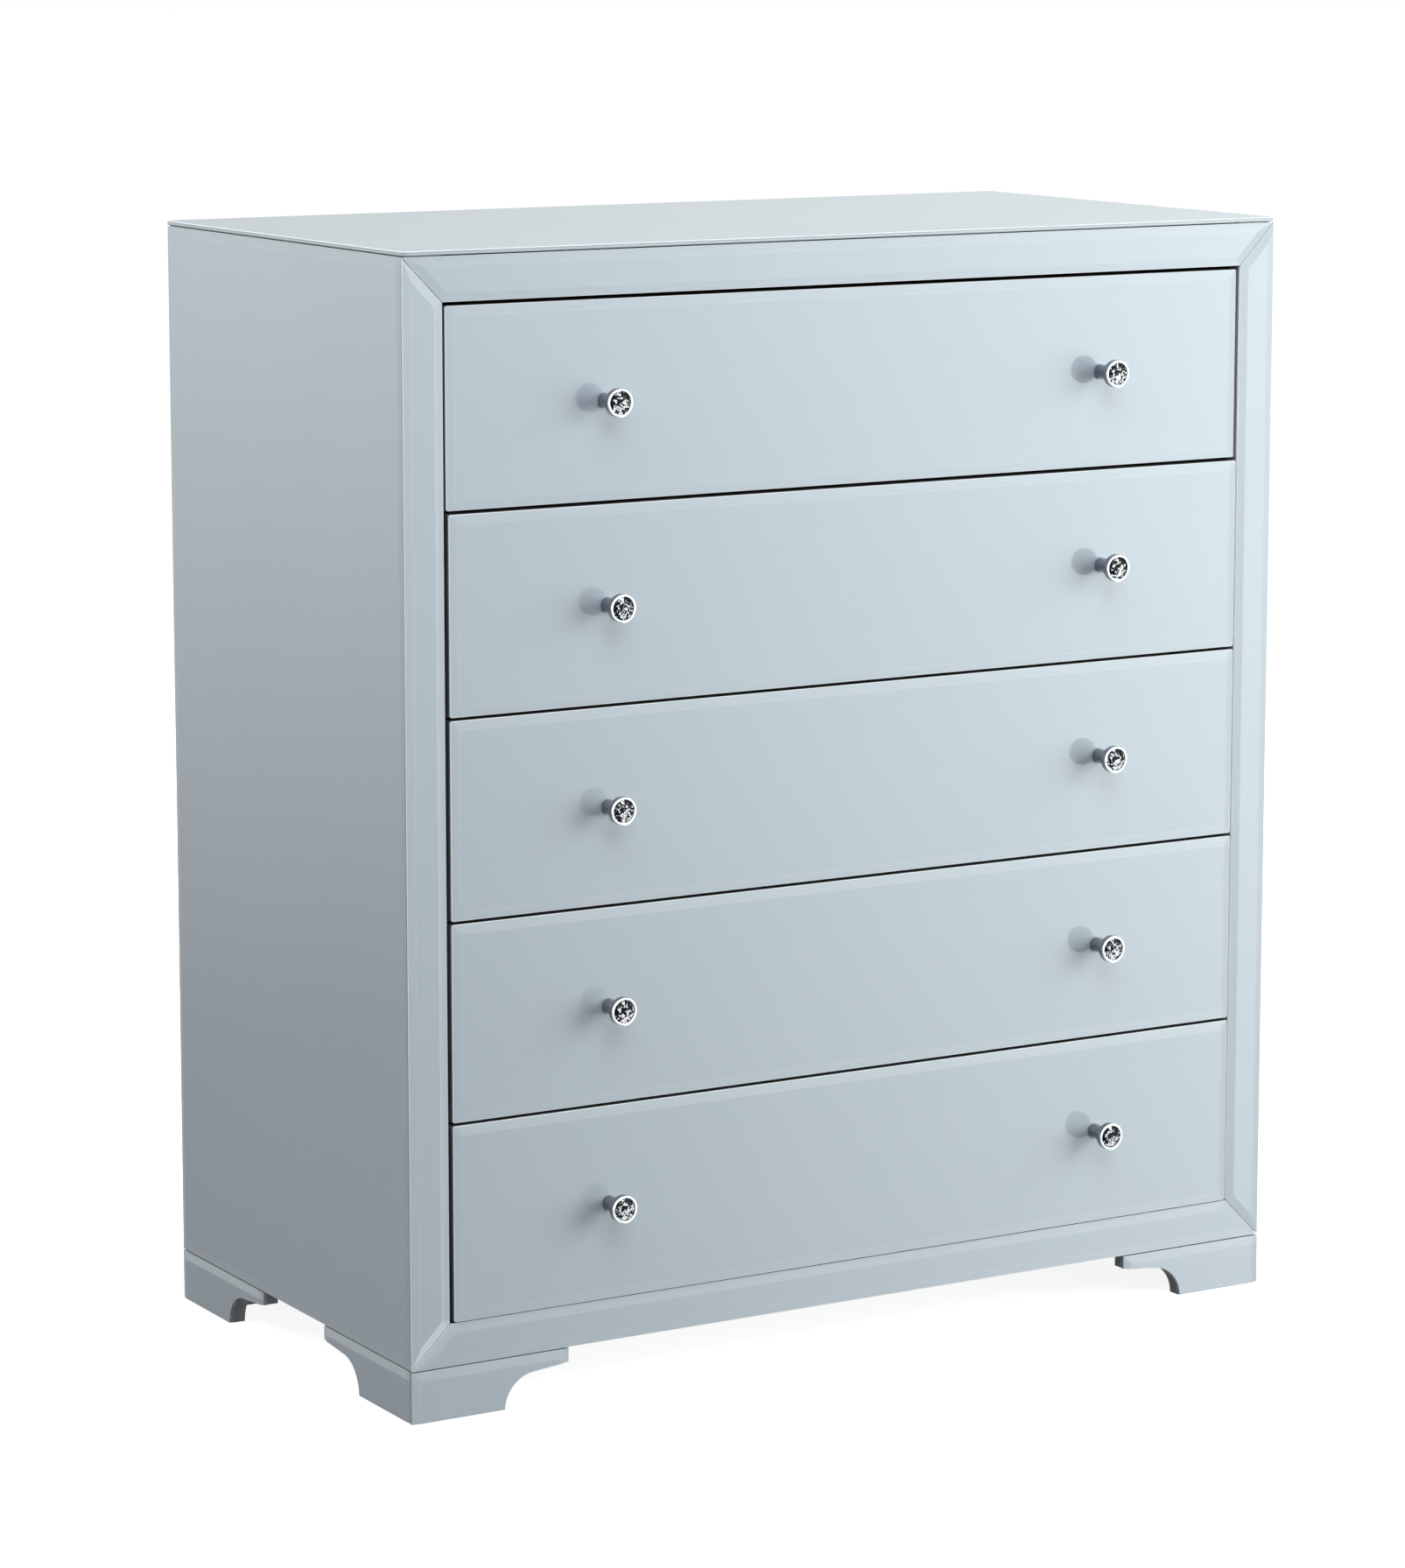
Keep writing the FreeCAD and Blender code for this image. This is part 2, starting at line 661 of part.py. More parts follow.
def place_at_knob(item, number):
    # The knob's own origin is the middle of its front rim, with Y running into the drawer.
    place(item, "sizes.knob_spread / 2", f"{face_y(number)} - sizes.knob_length",
          f"{drawer_z(number)} + {FRONT_HEIGHT} / 2")


def knobs(number):
    bore = "sizes.knob_screw_radius + sizes.thread_play"
    bottom = "sizes.knob_length - sizes.knob_screw_grip"
    edge = "sizes.knob_edge"
    knob = new_body("knob")
    revolve(knob, [("0", "sizes.cup_depth"), ("sizes.cup_radius", "sizes.cup_depth"),
                   ("sizes.cup_radius", "0"), (f"sizes.knob_radius - {edge}", "0"),
                   ("sizes.knob_radius", edge), ("sizes.knob_radius", f"sizes.knob_head - {edge}"),
                   (f"sizes.knob_radius - {edge}", "sizes.knob_head"),
                   ("sizes.knob_stem_radius", "sizes.knob_head"),
                   ("sizes.knob_stem_radius", "sizes.knob_length"),
                   (bore, "sizes.knob_length"), (bore, f"{bottom} - sizes.screw_play"),
                   ("0", f"{bottom} - sizes.screw_play")], "XY_Plane", "V_Axis")
    place_at_knob(knob, number)
    seat = "sizes.knob_length + sizes.glass + sizes.board"
    screw = new_body("knob_screw")
    revolve(screw, [("0", bottom), ("sizes.knob_screw_radius", bottom),
                    ("sizes.knob_screw_radius", seat), ("sizes.knob_screw_head", seat),
                    ("sizes.knob_screw_head", f"{seat} + sizes.knob_screw_cap"),
                    ("0", f"{seat} + sizes.knob_screw_cap")], "XY_Plane", "V_Axis")
    place_at_knob(screw, number)
    right = group("right_knob", [knob, screw])
    node(group("both_knobs", [right, mirrored(right, "left_knob")]), f"drawer_{number}_knobs")


def crystals(number):
    # A flat-backed faceted disc: a straight girdle, then a crown that narrows to the table.
    rings = []
    for radius, y in (("sizes.crystal_radius", "sizes.cup_depth"),
                      ("sizes.crystal_radius", "sizes.cup_depth - sizes.crystal_girdle"),
                      ("sizes.crystal_table", "sizes.crystal_sink")):
        ring = doc.addObject("Part::RegularPolygon", "ring")
        ring.Polygon = 16
        ring.Placement.Rotation = FreeCAD.Rotation(FreeCAD.Vector(1, 0, 0), 90)
        bind(ring, Circumradius=radius)
        place(ring, "sizes.knob_spread / 2", f"{face_y(number)} - sizes.knob_length + {y}",
              f"{drawer_z(number)} + {FRONT_HEIGHT} / 2")
        rings.append(ring)
    crystal = doc.addObject("Part::Loft", "crystal")
    crystal.Sections = rings
    crystal.Solid = True
    crystal.Ruled = True
    both = group("both_crystals", [crystal, mirrored(crystal, "left_crystal")])
    node(both, f"drawer_{number}_crystals")


def drawer_runners(number):
    low = "((sizes.runner_height - sizes.inner_runner_height) / 2)"
    body = channel("drawer_runner", "0", "sizes.inner_runner_flange", low,
                   "sizes.runner_sheet", "sizes.runner_sheet", "sizes.runner_length")
    place(body, BOX_X, RUNNER_Y, runner_z(number))
    node(group("runners", [body, mirrored(body, "left_runner")]), f"drawer_{number}_runners")


def ball_cages(number):
    # The cage stays inside both channels at every opening, so it is as long as the part of
    # them that still overlaps when the drawer is out, less some play.
    web = "(sizes.runner_depth - sizes.runner_sheet - sizes.cage_play)"
    overlap = "(sizes.runner_height - sizes.inner_runner_height) / 2 - sizes.runner_sheet"
    length = "sizes.runner_length - sizes.runner_travel - 2 * sizes.cage_end_play"
    body = channel("cage", web, f"{web} - sizes.cage_flange", "(sizes.runner_sheet + sizes.cage_play)",
                   "sizes.cage_sheet", f"({overlap} - 2 * sizes.cage_play)", length)
    place(body, BOX_X, f"{RUNNER_Y} + sizes.runner_travel / 2 + sizes.cage_end_play",
          runner_z(number))
    node(group("cages", [body, mirrored(body, "left_cage")]), f"drawer_{number}_ball_cages")


def drawer(number):
    front_glass(number)
    front_board(number)
    box_walls(number)
    box_bottom(number)
    knobs(number)
    crystals(number)
    drawer_runners(number)
    ball_cages(number)


def fill_sheet():
    for row, (name, size) in enumerate(SIZES.items(), 1):
        sheet.set(f"A{row}", name)
        sheet.set(f"B{row}", str(size))
        sheet.setAlias(f"B{row}", name)
    doc.recompute()


def build():
    fill_sheet()
    cabinet_boards()
    face_frame()
    top_glass()
    side_glass()
    frame_glass()
    feet()
    foot_glass()
    foot_screws()
    cabinet_runners()
    runner_battens()
    runner_screws()
    for number in range(1, DRAWERS + 1):
        drawer(number)
    doc.recompute()


def check():
    for item in doc.Objects:
        if "Invalid" in item.State or "Error" in item.State:
            raise RuntimeError(f"{item.Label} did not recompute: {item.State}")
    for item in nodes:
        if item.Shape.isNull() or not item.Shape.isValid():
            raise RuntimeError(f"{item.Label} has no valid shape")


def write():
    os.makedirs("parts", exist_ok=True)
    for item in nodes:
        item.Shape.exportStep(f"parts/{item.Label}.step")
        print(f"{item.Label}: {len(item.Shape.Solids)} solids, {item.Shape.Volume:.0f} mm3")


build()
check()
write()
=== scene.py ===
import json
import math
import bpy
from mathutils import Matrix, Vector

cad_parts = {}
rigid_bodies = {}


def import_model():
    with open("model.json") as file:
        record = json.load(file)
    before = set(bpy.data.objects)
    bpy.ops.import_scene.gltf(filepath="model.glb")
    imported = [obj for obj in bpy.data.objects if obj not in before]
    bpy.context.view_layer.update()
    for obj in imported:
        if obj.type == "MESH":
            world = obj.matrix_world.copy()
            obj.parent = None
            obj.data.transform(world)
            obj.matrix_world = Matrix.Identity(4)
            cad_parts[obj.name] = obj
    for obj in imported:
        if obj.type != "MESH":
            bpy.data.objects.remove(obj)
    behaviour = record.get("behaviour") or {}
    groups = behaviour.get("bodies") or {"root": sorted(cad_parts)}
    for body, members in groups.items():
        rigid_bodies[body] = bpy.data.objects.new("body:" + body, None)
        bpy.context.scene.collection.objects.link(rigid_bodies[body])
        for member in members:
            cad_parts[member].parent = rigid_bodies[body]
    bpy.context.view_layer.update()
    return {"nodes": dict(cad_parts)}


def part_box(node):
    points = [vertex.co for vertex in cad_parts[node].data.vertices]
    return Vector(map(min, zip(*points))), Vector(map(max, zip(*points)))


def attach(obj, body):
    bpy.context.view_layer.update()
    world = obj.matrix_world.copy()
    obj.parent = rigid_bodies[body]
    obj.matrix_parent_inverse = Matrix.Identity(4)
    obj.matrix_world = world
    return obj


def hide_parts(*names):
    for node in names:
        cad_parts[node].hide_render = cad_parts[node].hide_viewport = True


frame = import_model()
nodes = frame["nodes"]
drawerNumbers = range(1, 6)
print("frame loaded:", len(nodes), "nodes")


# working with one mesh at a time

def leaveEdit():
    if bpy.context.object and bpy.context.object.mode != "OBJECT":
        bpy.ops.object.mode_set(mode="OBJECT")


def only(piece):
    leaveEdit()
    bpy.ops.object.select_all(action="DESELECT")
    piece.select_set(True)
    bpy.context.view_layer.objects.active = piece


def settle(piece, name):
    # the place goes into the mesh, so the object itself sits at the origin
    leaveEdit()
    bpy.ops.object.transform_apply(location=True, rotation=True, scale=True)
    piece.name = name
    piece.data.name = name
    return piece


def addBlock(name, low, high):
    leaveEdit()
    bpy.ops.object.select_all(action="DESELECT")
    low, high = Vector(low), Vector(high)
    bpy.ops.mesh.primitive_cube_add(size=1, location=(low + high) / 2, scale=high - low)
    return settle(bpy.context.object, name)


def pick(piece, kind, chosen):
    # selects the faces, edges or vertices that chosen() says yes to, and stays in edit mode
    only(piece)
    bpy.ops.object.mode_set(mode="EDIT")
    bpy.ops.mesh.select_mode(type=kind)
    bpy.ops.mesh.select_all(action="DESELECT")
    bpy.ops.object.mode_set(mode="OBJECT")
    mesh = piece.data
    items = {"FACE": mesh.polygons, "EDGE": mesh.edges, "VERT": mesh.vertices}[kind]
    for item in items:
        item.select = bool(chosen(item))
    bpy.ops.object.mode_set(mode="EDIT")


def useModifier(piece, kind, **values):
    only(piece)
    modifier = piece.modifiers.new(kind.lower(), kind)
    for key, value in values.items():
        setattr(modifier, key, value)
    bpy.ops.object.modifier_apply(modifier=modifier.name)


def outward(piece):
    only(piece)
    bpy.ops.object.mode_set(mode="EDIT")
    bpy.ops.mesh.select_all(action="SELECT")
    bpy.ops.mesh.remove_doubles(threshold=1e-6)
    bpy.ops.mesh.normals_make_consistent(inside=False)
    leaveEdit()


def smooth(piece, degrees):
    only(piece)
    bpy.ops.object.shade_smooth_by_angle(angle=math.radians(degrees))


def copyTo(source, name, shift):
    # a copy with a mesh of its own, moved in the mesh
    only(source)
    bpy.ops.object.duplicate(linked=False)
    piece = bpy.context.object
    bpy.ops.transform.translate(value=shift)
    return settle(piece, name)


def finishPiece(piece, body, slot, *replaced):
    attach(piece, body)
    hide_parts(*replaced)


# shader groups: effects that several materials share

def newGroup(name, inputs, outputs):
    group = bpy.data.node_groups.new(name, "ShaderNodeTree")
    for label, kind, value in inputs:
        socket = group.interface.new_socket(label, in_out="INPUT", socket_type=kind)
        socket.default_value = value
    for label, kind in outputs:
        group.interface.new_socket(label, in_out="OUTPUT", socket_type=kind)
    start = group.nodes.new("NodeGroupInput")
    end = group.nodes.new("NodeGroupOutput")
    return group, start, end


def addNode(tree, kind, **values):
    node = tree.nodes.new(kind)
    for key, value in values.items():
        setattr(node, key, value)
    return node


def noiseAt(tree, coordinates, scale, detail, roughness=0.5):
    noise = addNode(tree, "ShaderNodeTexNoise")
    noise.inputs["Detail"].default_value = detail
    noise.inputs["Roughness"].default_value = roughness
    tree.links.new(coordinates, noise.inputs["Vector"])
    if isinstance(scale, (int, float)):
        noise.inputs["Scale"].default_value = scale
    else:
        tree.links.new(scale, noise.inputs["Scale"])
    return noise.outputs["Fac"]


def remap(tree, value, low, high, newLow, newHigh):
    node = addNode(tree, "ShaderNodeMapRange")
    node.inputs["From Min"].default_value = low
    node.inputs["From Max"].default_value = high
    node.inputs["To Min"].default_value = newLow
    node.inputs["To Max"].default_value = newHigh
    tree.links.new(value, node.inputs["Value"])
    return node.outputs["Result"]


def calculate(tree, operation, first, second):
    node = addNode(tree, "ShaderNodeMath", operation=operation)
    for socket, value in zip(node.inputs, (first, second)):
        if isinstance(value, (int, float)):
            socket.default_value = value
        else:
            tree.links.new(value, socket)
    return node.outputs["Value"]


def mixColor(tree, factor, first, second):
    node = addNode(tree, "ShaderNodeMix", data_type="RGBA")
    for socket, value in ((node.inputs[0], factor), (node.inputs[6], first), (node.inputs[7], second)):
        if isinstance(value, bpy.types.NodeSocket):
            tree.links.new(value, socket)
        else:
            socket.default_value = value
    return node.outputs[2]


def mixValue(tree, factor, first, second):
    node = addNode(tree, "ShaderNodeMix", data_type="FLOAT")
    for socket, value in ((node.inputs[0], factor), (node.inputs[2], first), (node.inputs[3], second)):
        if isinstance(value, bpy.types.NodeSocket):
            tree.links.new(value, socket)
        else:
            socket.default_value = value
    return node.outputs[0]


def makeToneGroup():
    # a slow drift of tone over a surface, and a finer one over that
    group, start, end = newGroup("toneDrift", [
        ("Vector", "NodeSocketVector", (0, 0, 0)), ("Color", "NodeSocketColor", (1, 1, 1, 1)),
        ("Drift Color", "NodeSocketColor", (0.5, 0.5, 0.5, 1)), ("Scale", "NodeSocketFloat", 3.0),
        ("Strength", "NodeSocketFloat", 0.2)], [("Color", "NodeSocketColor")])
    slow = noiseAt(group, start.outputs["Vector"], start.outputs["Scale"], 2.0)
    fineScale = calculate(group, "MULTIPLY", start.outputs["Scale"], 9.0)
    fine = noiseAt(group, start.outputs["Vector"], fineScale, 3.0)
    slow = calculate(group, "MULTIPLY", slow, 0.7)
    both = calculate(group, "ADD", slow, calculate(group, "MULTIPLY", fine, 0.3))
    mask = calculate(group, "MULTIPLY", remap(group, both, 0.35, 0.65, 0.0, 1.0), start.outputs["Strength"])
    color = mixColor(group, mask, start.outputs["Color"], start.outputs["Drift Color"])
    group.links.new(color, end.inputs["Color"])
    return group


def makeSmudgeGroup():
    # wiped and fingered patches: an amount that drifts between two values
    group, start, end = newGroup("smudges", [
        ("Vector", "NodeSocketVector", (0, 0, 0)), ("Scale", "NodeSocketFloat", 6.0),
        ("Clean", "NodeSocketFloat", 0.03), ("Smudged", "NodeSocketFloat", 0.1)],
        [("Amount", "NodeSocketFloat")])
    patches = noiseAt(group, start.outputs["Vector"], start.outputs["Scale"], 4.0, 0.6)
    share = remap(group, patches, 0.4, 0.7, 0.0, 1.0)
    span = calculate(group, "SUBTRACT", start.outputs["Smudged"], start.outputs["Clean"])
    amount = calculate(group, "ADD", start.outputs["Clean"], calculate(group, "MULTIPLY", share, span))
    group.links.new(amount, end.inputs["Amount"])
    return group


def makeGrainGroup():
    # long fibres: noise stretched along one axis of the vector it is given
    group, start, end = newGroup("grain", [
        ("Vector", "NodeSocketVector", (0, 0, 0)), ("Scale", "NodeSocketFloat", 60.0),
        ("Color", "NodeSocketColor", (0.7, 0.6, 0.45, 1)),
        ("Dark Color", "NodeSocketColor", (0.5, 0.38, 0.25, 1))],
        [("Color", "NodeSocketColor"), ("Height", "NodeSocketFloat")])
    fibres = noiseAt(group, start.outputs["Vector"], start.outputs["Scale"], 6.0, 0.65)
    bandScale = calculate(group, "MULTIPLY", start.outputs["Scale"], 0.2)
    bands = noiseAt(group, start.outputs["Vector"], bandScale, 2.0)
    halfFibres = calculate(group, "MULTIPLY", fibres, 0.5)
    both = calculate(group, "ADD", halfFibres, calculate(group, "MULTIPLY", bands, 0.5))
    darkness = remap(group, both, 0.38, 0.62, 0.0, 1.0)
    color = mixColor(group, darkness, start.outputs["Color"], start.outputs["Dark Color"])
    group.links.new(color, end.inputs["Color"])
    group.links.new(fibres, end.inputs["Height"])
    return group


toneGroup = makeToneGroup()
smudgeGroup = makeSmudgeGroup()
grainGroup = makeGrainGroup()


def newMaterial(name, **shaderValues):
    material = bpy.data.materials.new(name)
    material.use_nodes = True
    tree = material.node_tree
    shader = tree.nodes["Principled BSDF"]
    for label, value in shaderValues.items():
        shader.inputs[label.replace("_", " ")].default_value = value
    coordinates = addNode(tree, "ShaderNodeTexCoord").outputs["Object"]
    return material, tree, shader, coordinates


def placeGroup(tree, group, vector, **values):
    node = addNode(tree, "ShaderNodeGroup", node_tree=group)
    tree.links.new(vector, node.inputs["Vector"])
    for label, value in values.items():
        node.inputs[label.replace("_", " ")].default_value = value
    return node


def stretched(tree, coordinates, scale):
    mapping = addNode(tree, "ShaderNodeMapping")
    mapping.inputs["Scale"].default_value = scale
    tree.links.new(coordinates, mapping.inputs["Vector"])
    return mapping.outputs["Vector"]


def addBump(tree, shader, height, strength, distance):
    bump = addNode(tree, "ShaderNodeBump")
    bump.inputs["Strength"].default_value = strength
    bump.inputs["Distance"].default_value = distance
    tree.links.new(height, bump.inputs["Height"])
    tree.links.new(bump.outputs["Normal"], shader.inputs["Normal"])


glassLook = {
    "face": (0.665, 0.735, 0.79, 1), "faceDrift": (0.645, 0.715, 0.775, 1),
    "bevel": (0.69, 0.76, 0.81, 1), "bevelDrift": (0.67, 0.74, 0.795, 1),
    # ridge and arris are paler than the face: painted highlights
    "ridge": (0.76, 0.825, 0.87, 1), "ridgeDrift": (0.70, 0.77, 0.82, 1),
    "arris": (0.93, 0.95, 0.97, 1), "arrisDrift": (0.84, 0.87, 0.89, 1),
    "edge": (0.30, 0.345, 0.355, 1), "edgeDrift": (0.36, 0.41, 0.42, 1),
    # litEdge is pale and glows: painted light
    "litEdge": (0.66, 0.68, 0.70, 1), "litEdgeDrift": (0.56, 0.60, 0.62, 1),
    "wiped": 0.96, "clean": 1.0,
}
topEdgeTonesAndHighlights = ((0.0, (0.30, 0.36, 0.37, 1)), (0.25, (0.62, 0.68, 0.71, 1)), (0.55, (0.66, 0.72, 0.75, 1)),
                (0.66, (0.22, 0.38, 0.40, 1)), (0.80, (0.70, 0.79, 0.82, 1)), (1.0, (0.86, 0.92, 0.94, 1)))


def addFlatPaint(tree, shader):
    # the paint lies on the pane's flat back, so only the gloss follows the bevels
    normal = addNode(tree, "ShaderNodeNewGeometry").outputs["Normal"]
    raised = addNode(tree, "ShaderNodeVectorMath", operation="ADD")
    raised.inputs[1].default_value = (0.5, 0.5, 0.5)
    squared = addNode(tree, "ShaderNodeVectorMath", operation="FLOOR")
    tree.links.new(normal, raised.inputs[0])
    tree.links.new(raised.outputs["Vector"], squared.inputs[0])
    tree.links.new(squared.outputs["Vector"], shader.inputs["Normal"])


def paneMaterial(name, tone, drift):
    material, tree, shader, coordinates = newMaterial(
        name, Roughness=0.6, Specular_IOR_Level=0.0, Coat_Weight=1.0, Coat_Roughness=0.03, Coat_IOR=1.52)
    color = placeGroup(tree, toneGroup, coordinates, Color=tone, Drift_Color=drift, Scale=2.5, Strength=0.7)
    tree.links.new(color.outputs["Color"], shader.inputs["Base Color"])
    wiped = placeGroup(tree, smudgeGroup, coordinates, Scale=7.0, Clean=glassLook["clean"],
                       Smudged=glassLook["wiped"])
    tree.links.new(wiped.outputs["Amount"], shader.inputs["Coat Weight"])
    addFlatPaint(tree, shader)
    return material


def edgeMaterial(name, tone, drift, glow):
    # glow makes the edge give off light in its own colour: painted light
    material, tree, shader, coordinates = newMaterial(name, IOR=1.52, Emission_Strength=glow)
    color = placeGroup(tree, toneGroup, coordinates, Color=tone, Drift_Color=drift, Scale=60.0, Strength=0.8)
    tree.links.new(color.outputs["Color"], shader.inputs["Base Color"])
    tree.links.new(color.outputs["Color"], shader.inputs["Emission Color"])
    wiped = placeGroup(tree, smudgeGroup, coordinates, Scale=40.0, Clean=0.08, Smudged=0.22)
    tree.links.new(wiped.outputs["Amount"], shader.inputs["Roughness"])
    return material


def topEdgeMaterial():
    # the top's edge shows pale bands and a palest line at the top, painted highlights, with one green line
    # where the glass is seen edge on
    low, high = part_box("top_glass")
    material, tree, shader, coordinates = newMaterial("greenGlassEdgePaintedHighlights", IOR=1.52)
    split = addNode(tree, "ShaderNodeSeparateXYZ")
    tree.links.new(coordinates, split.inputs["Vector"])
    ramp = addNode(tree, "ShaderNodeValToRGB")
    tree.links.new(remap(tree, split.outputs["Z"], low.z, high.z, 0.0, 1.0), ramp.inputs["Fac"])
    stops = ramp.color_ramp.elements
    for index, (place, tone) in enumerate(topEdgeTonesAndHighlights):
        stop = stops[index] if index < 2 else stops.new(place)
        stop.position = place
        stop.color = tone
    tree.links.new(ramp.outputs["Color"], shader.inputs["Base Color"])
    wiped = placeGroup(tree, smudgeGroup, coordinates, Scale=40.0, Clean=0.08, Smudged=0.22)
    tree.links.new(wiped.outputs["Amount"], shader.inputs["Roughness"])
    return material


paneFace = paneMaterial("backPaintedGlass", glassLook["face"], glassLook["faceDrift"])
paneBevel = paneMaterial("bevelledGlass", glassLook["bevel"], glassLook["bevelDrift"])
# the bevel line is paler than the face: a painted highlight
paneRidgeHighlight = paneMaterial("bevelLinePaintedHighlight", glassLook["ridge"], glassLook["ridgeDrift"])
# the arris is near white and glows: a painted highlight along every glass edge
paneArrisHighlight = edgeMaterial("glassArrisPaintedHighlight", glassLook["arris"], glassLook["arrisDrift"], 0.25)
# the ground edge glows faintly: painted light over its own dark colour
paneEdge = edgeMaterial("groundGlassEdge", glassLook["edge"], glassLook["edgeDrift"], 0.02)
# the lit edge is pale and glows strongly: painted light on the edges facing the opening
litEdge = edgeMaterial("glowingGlassEdgePaintedLight", glassLook["litEdge"], glassLook["litEdgeDrift"], 0.6)
topEdgeWithHighlights = topEdgeMaterial()


def boardMaterial(name, tone, drift, scale, fibre, strength, roughness):
    material, tree, shader, coordinates = newMaterial(name, Roughness=roughness)
    color = placeGroup(tree, toneGroup, coordinates, Color=tone, Drift_Color=drift, Scale=scale, Strength=0.8)
    tree.links.new(color.outputs["Color"], shader.inputs["Base Color"])
    height = noiseAt(tree, coordinates, fibre, 5.0, 0.7)
    addBump(tree, shader, height, strength, 0.0004)
    return material


frameSizes = {"stile": 0.038, "topRail": 0.040, "bottomRail": 0.038, "joint": 0.001}
frameBand = {"tone": (0.72, 0.70, 0.72, 1), "fadeFrom": 0.0004, "fadeTo": 0.0001}
# the boards' dark paint also stands in for the shade in the gaps and joints behind the glass: painted shade
darkBoardAndGapShadeTones = ((0.060, 0.063, 0.068, 1), (0.095, 0.098, 0.104, 1), 30, 900, 0.35, 0.6)
darkBoardAndGapShade = boardMaterial("darkBoardWithPaintedGapShade", *darkBoardAndGapShadeTones)
footBoard = boardMaterial("greyPaintedFoot", (0.31, 0.315, 0.33, 1), (0.37, 0.375, 0.39, 1),
                          30, 900, 0.35, 0.6)
filmBoard = boardMaterial("greyFilmBoard", (0.42, 0.44, 0.46, 1), (0.38, 0.40, 0.42, 1),
                          8, 700, 0.2, 0.45)
drawerFilm = boardMaterial("drawerFilmBoard", (0.60, 0.61, 0.61, 1), (0.54, 0.55, 0.555, 1),
                           12, 800, 0.25, 0.42)
hardboard = boardMaterial("hardboardSheet", (0.50, 0.505, 0.50, 1), (0.44, 0.445, 0.44, 1),
                          20, 1200, 0.3, 0.55)


def frameMaterial():
    # dark board, whose darkness also paints shade into the gaps, with a pale band on the upright edges of the
    # opening
    material = boardMaterial("edgeBandedBoard", *darkBoardAndGapShadeTones)
    tree = material.node_tree
    shader = tree.nodes["Principled BSDF"]
    dark = shader.inputs["Base Color"].links[0].from_socket
    split = addNode(tree, "ShaderNodeSeparateXYZ")
    tree.links.new(addNode(tree, "ShaderNodeTexCoord").outputs["Object"], split.inputs["Vector"])
    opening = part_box("stile_glass")[1].x - frameSizes["stile"]
    fromMiddle = calculate(tree, "ABSOLUTE", split.outputs["X"], 0.0)
    fade = (opening - frameBand["fadeFrom"], opening - frameBand["fadeTo"])
    band = remap(tree, fromMiddle, *fade, 0.0, 1.0)
    tree.links.new(mixColor(tree, band, dark, frameBand["tone"]), shader.inputs["Base Color"])
    return material


softwoodLook = {"pale": (0.62, 0.43, 0.24, 1), "dark": (0.42, 0.25, 0.11, 1), "scale": 90.0}


def softwoodMaterial():
    material, tree, shader, coordinates = newMaterial("planedSoftwood", Roughness=0.55)
    along = stretched(tree, coordinates, (1.0, 0.06, 1.0))
    grain = placeGroup(tree, grainGroup, along, Scale=softwoodLook["scale"], Color=softwoodLook["pale"],
                       Dark_Color=softwoodLook["dark"])
    tree.links.new(grain.outputs["Color"], shader.inputs["Base Color"])
    addBump(tree, shader, grain.outputs["Height"], 0.3, 0.0004)
    return material


frameBoard = frameMaterial()
softwood = softwoodMaterial()


def metalMaterial(name, tone, drift, clean, smudged, brushed):
    material, tree, shader, coordinates = newMaterial(name, Metallic=1.0)
    color = placeGroup(tree, toneGroup, coordinates, Color=tone, Drift_Color=drift, Scale=40.0, Strength=0.7)
    tree.links.new(color.outputs["Color"], shader.inputs["Base Color"])
    wiped = placeGroup(tree, smudgeGroup, coordinates, Scale=90.0, Clean=clean, Smudged=smudged)
    tree.links.new(wiped.outputs["Amount"], shader.inputs["Roughness"])
    lines = noiseAt(tree, stretched(tree, coordinates, brushed), 700.0, 3.0)
    addBump(tree, shader, lines, 0.12, 0.0002)
    return material


evenly = (1, 1, 1)
lengthways = (1, 0.05, 1)
# the knob's chrome comes as a dark copy for the body and a near-white copy for the rim: painted shade and
# painted highlight
chromeShadedBody = metalMaterial("chromeBodyPaintedShade", (0.29, 0.295, 0.33, 1), (0.23, 0.235, 0.265, 1),
                       0.10, 0.18, evenly)
chromeRimPaintedHighlight = metalMaterial("chromeRimPaintedHighlight", (0.95, 0.95, 0.96, 1), (0.80, 0.81, 0.83, 1), 0.06, 0.14, evenly)
runnerSteel = metalMaterial("zincPlatedSteel", (0.55, 0.56, 0.57, 1), (0.47, 0.48, 0.50, 1),
                            0.28, 0.42, lengthways)
cageSteel = metalMaterial("pressedSteel", (0.46, 0.47, 0.48, 1), (0.38, 0.39, 0.40, 1),
                          0.25, 0.38, lengthways)
screwZinc = metalMaterial("zincScrew", (0.60, 0.60, 0.58, 1), (0.48, 0.48, 0.46, 1), 0.3, 0.45, evenly)

crystalLook = {
    "black": (0.004, 0.004, 0.006, 1), "grey": (0.16, 0.17, 0.19, 1), "white": (0.93, 0.95, 0.97, 1),
    "greyFrom": 0.55, "whiteFrom": 0.60, "facetShare": 0.45, "cellShare": 0.55,
    "cell": 720.0, "facet": 7.3, "snap": (0.6, 0.6, 0.6), "paintedGlow": 0.3,
}


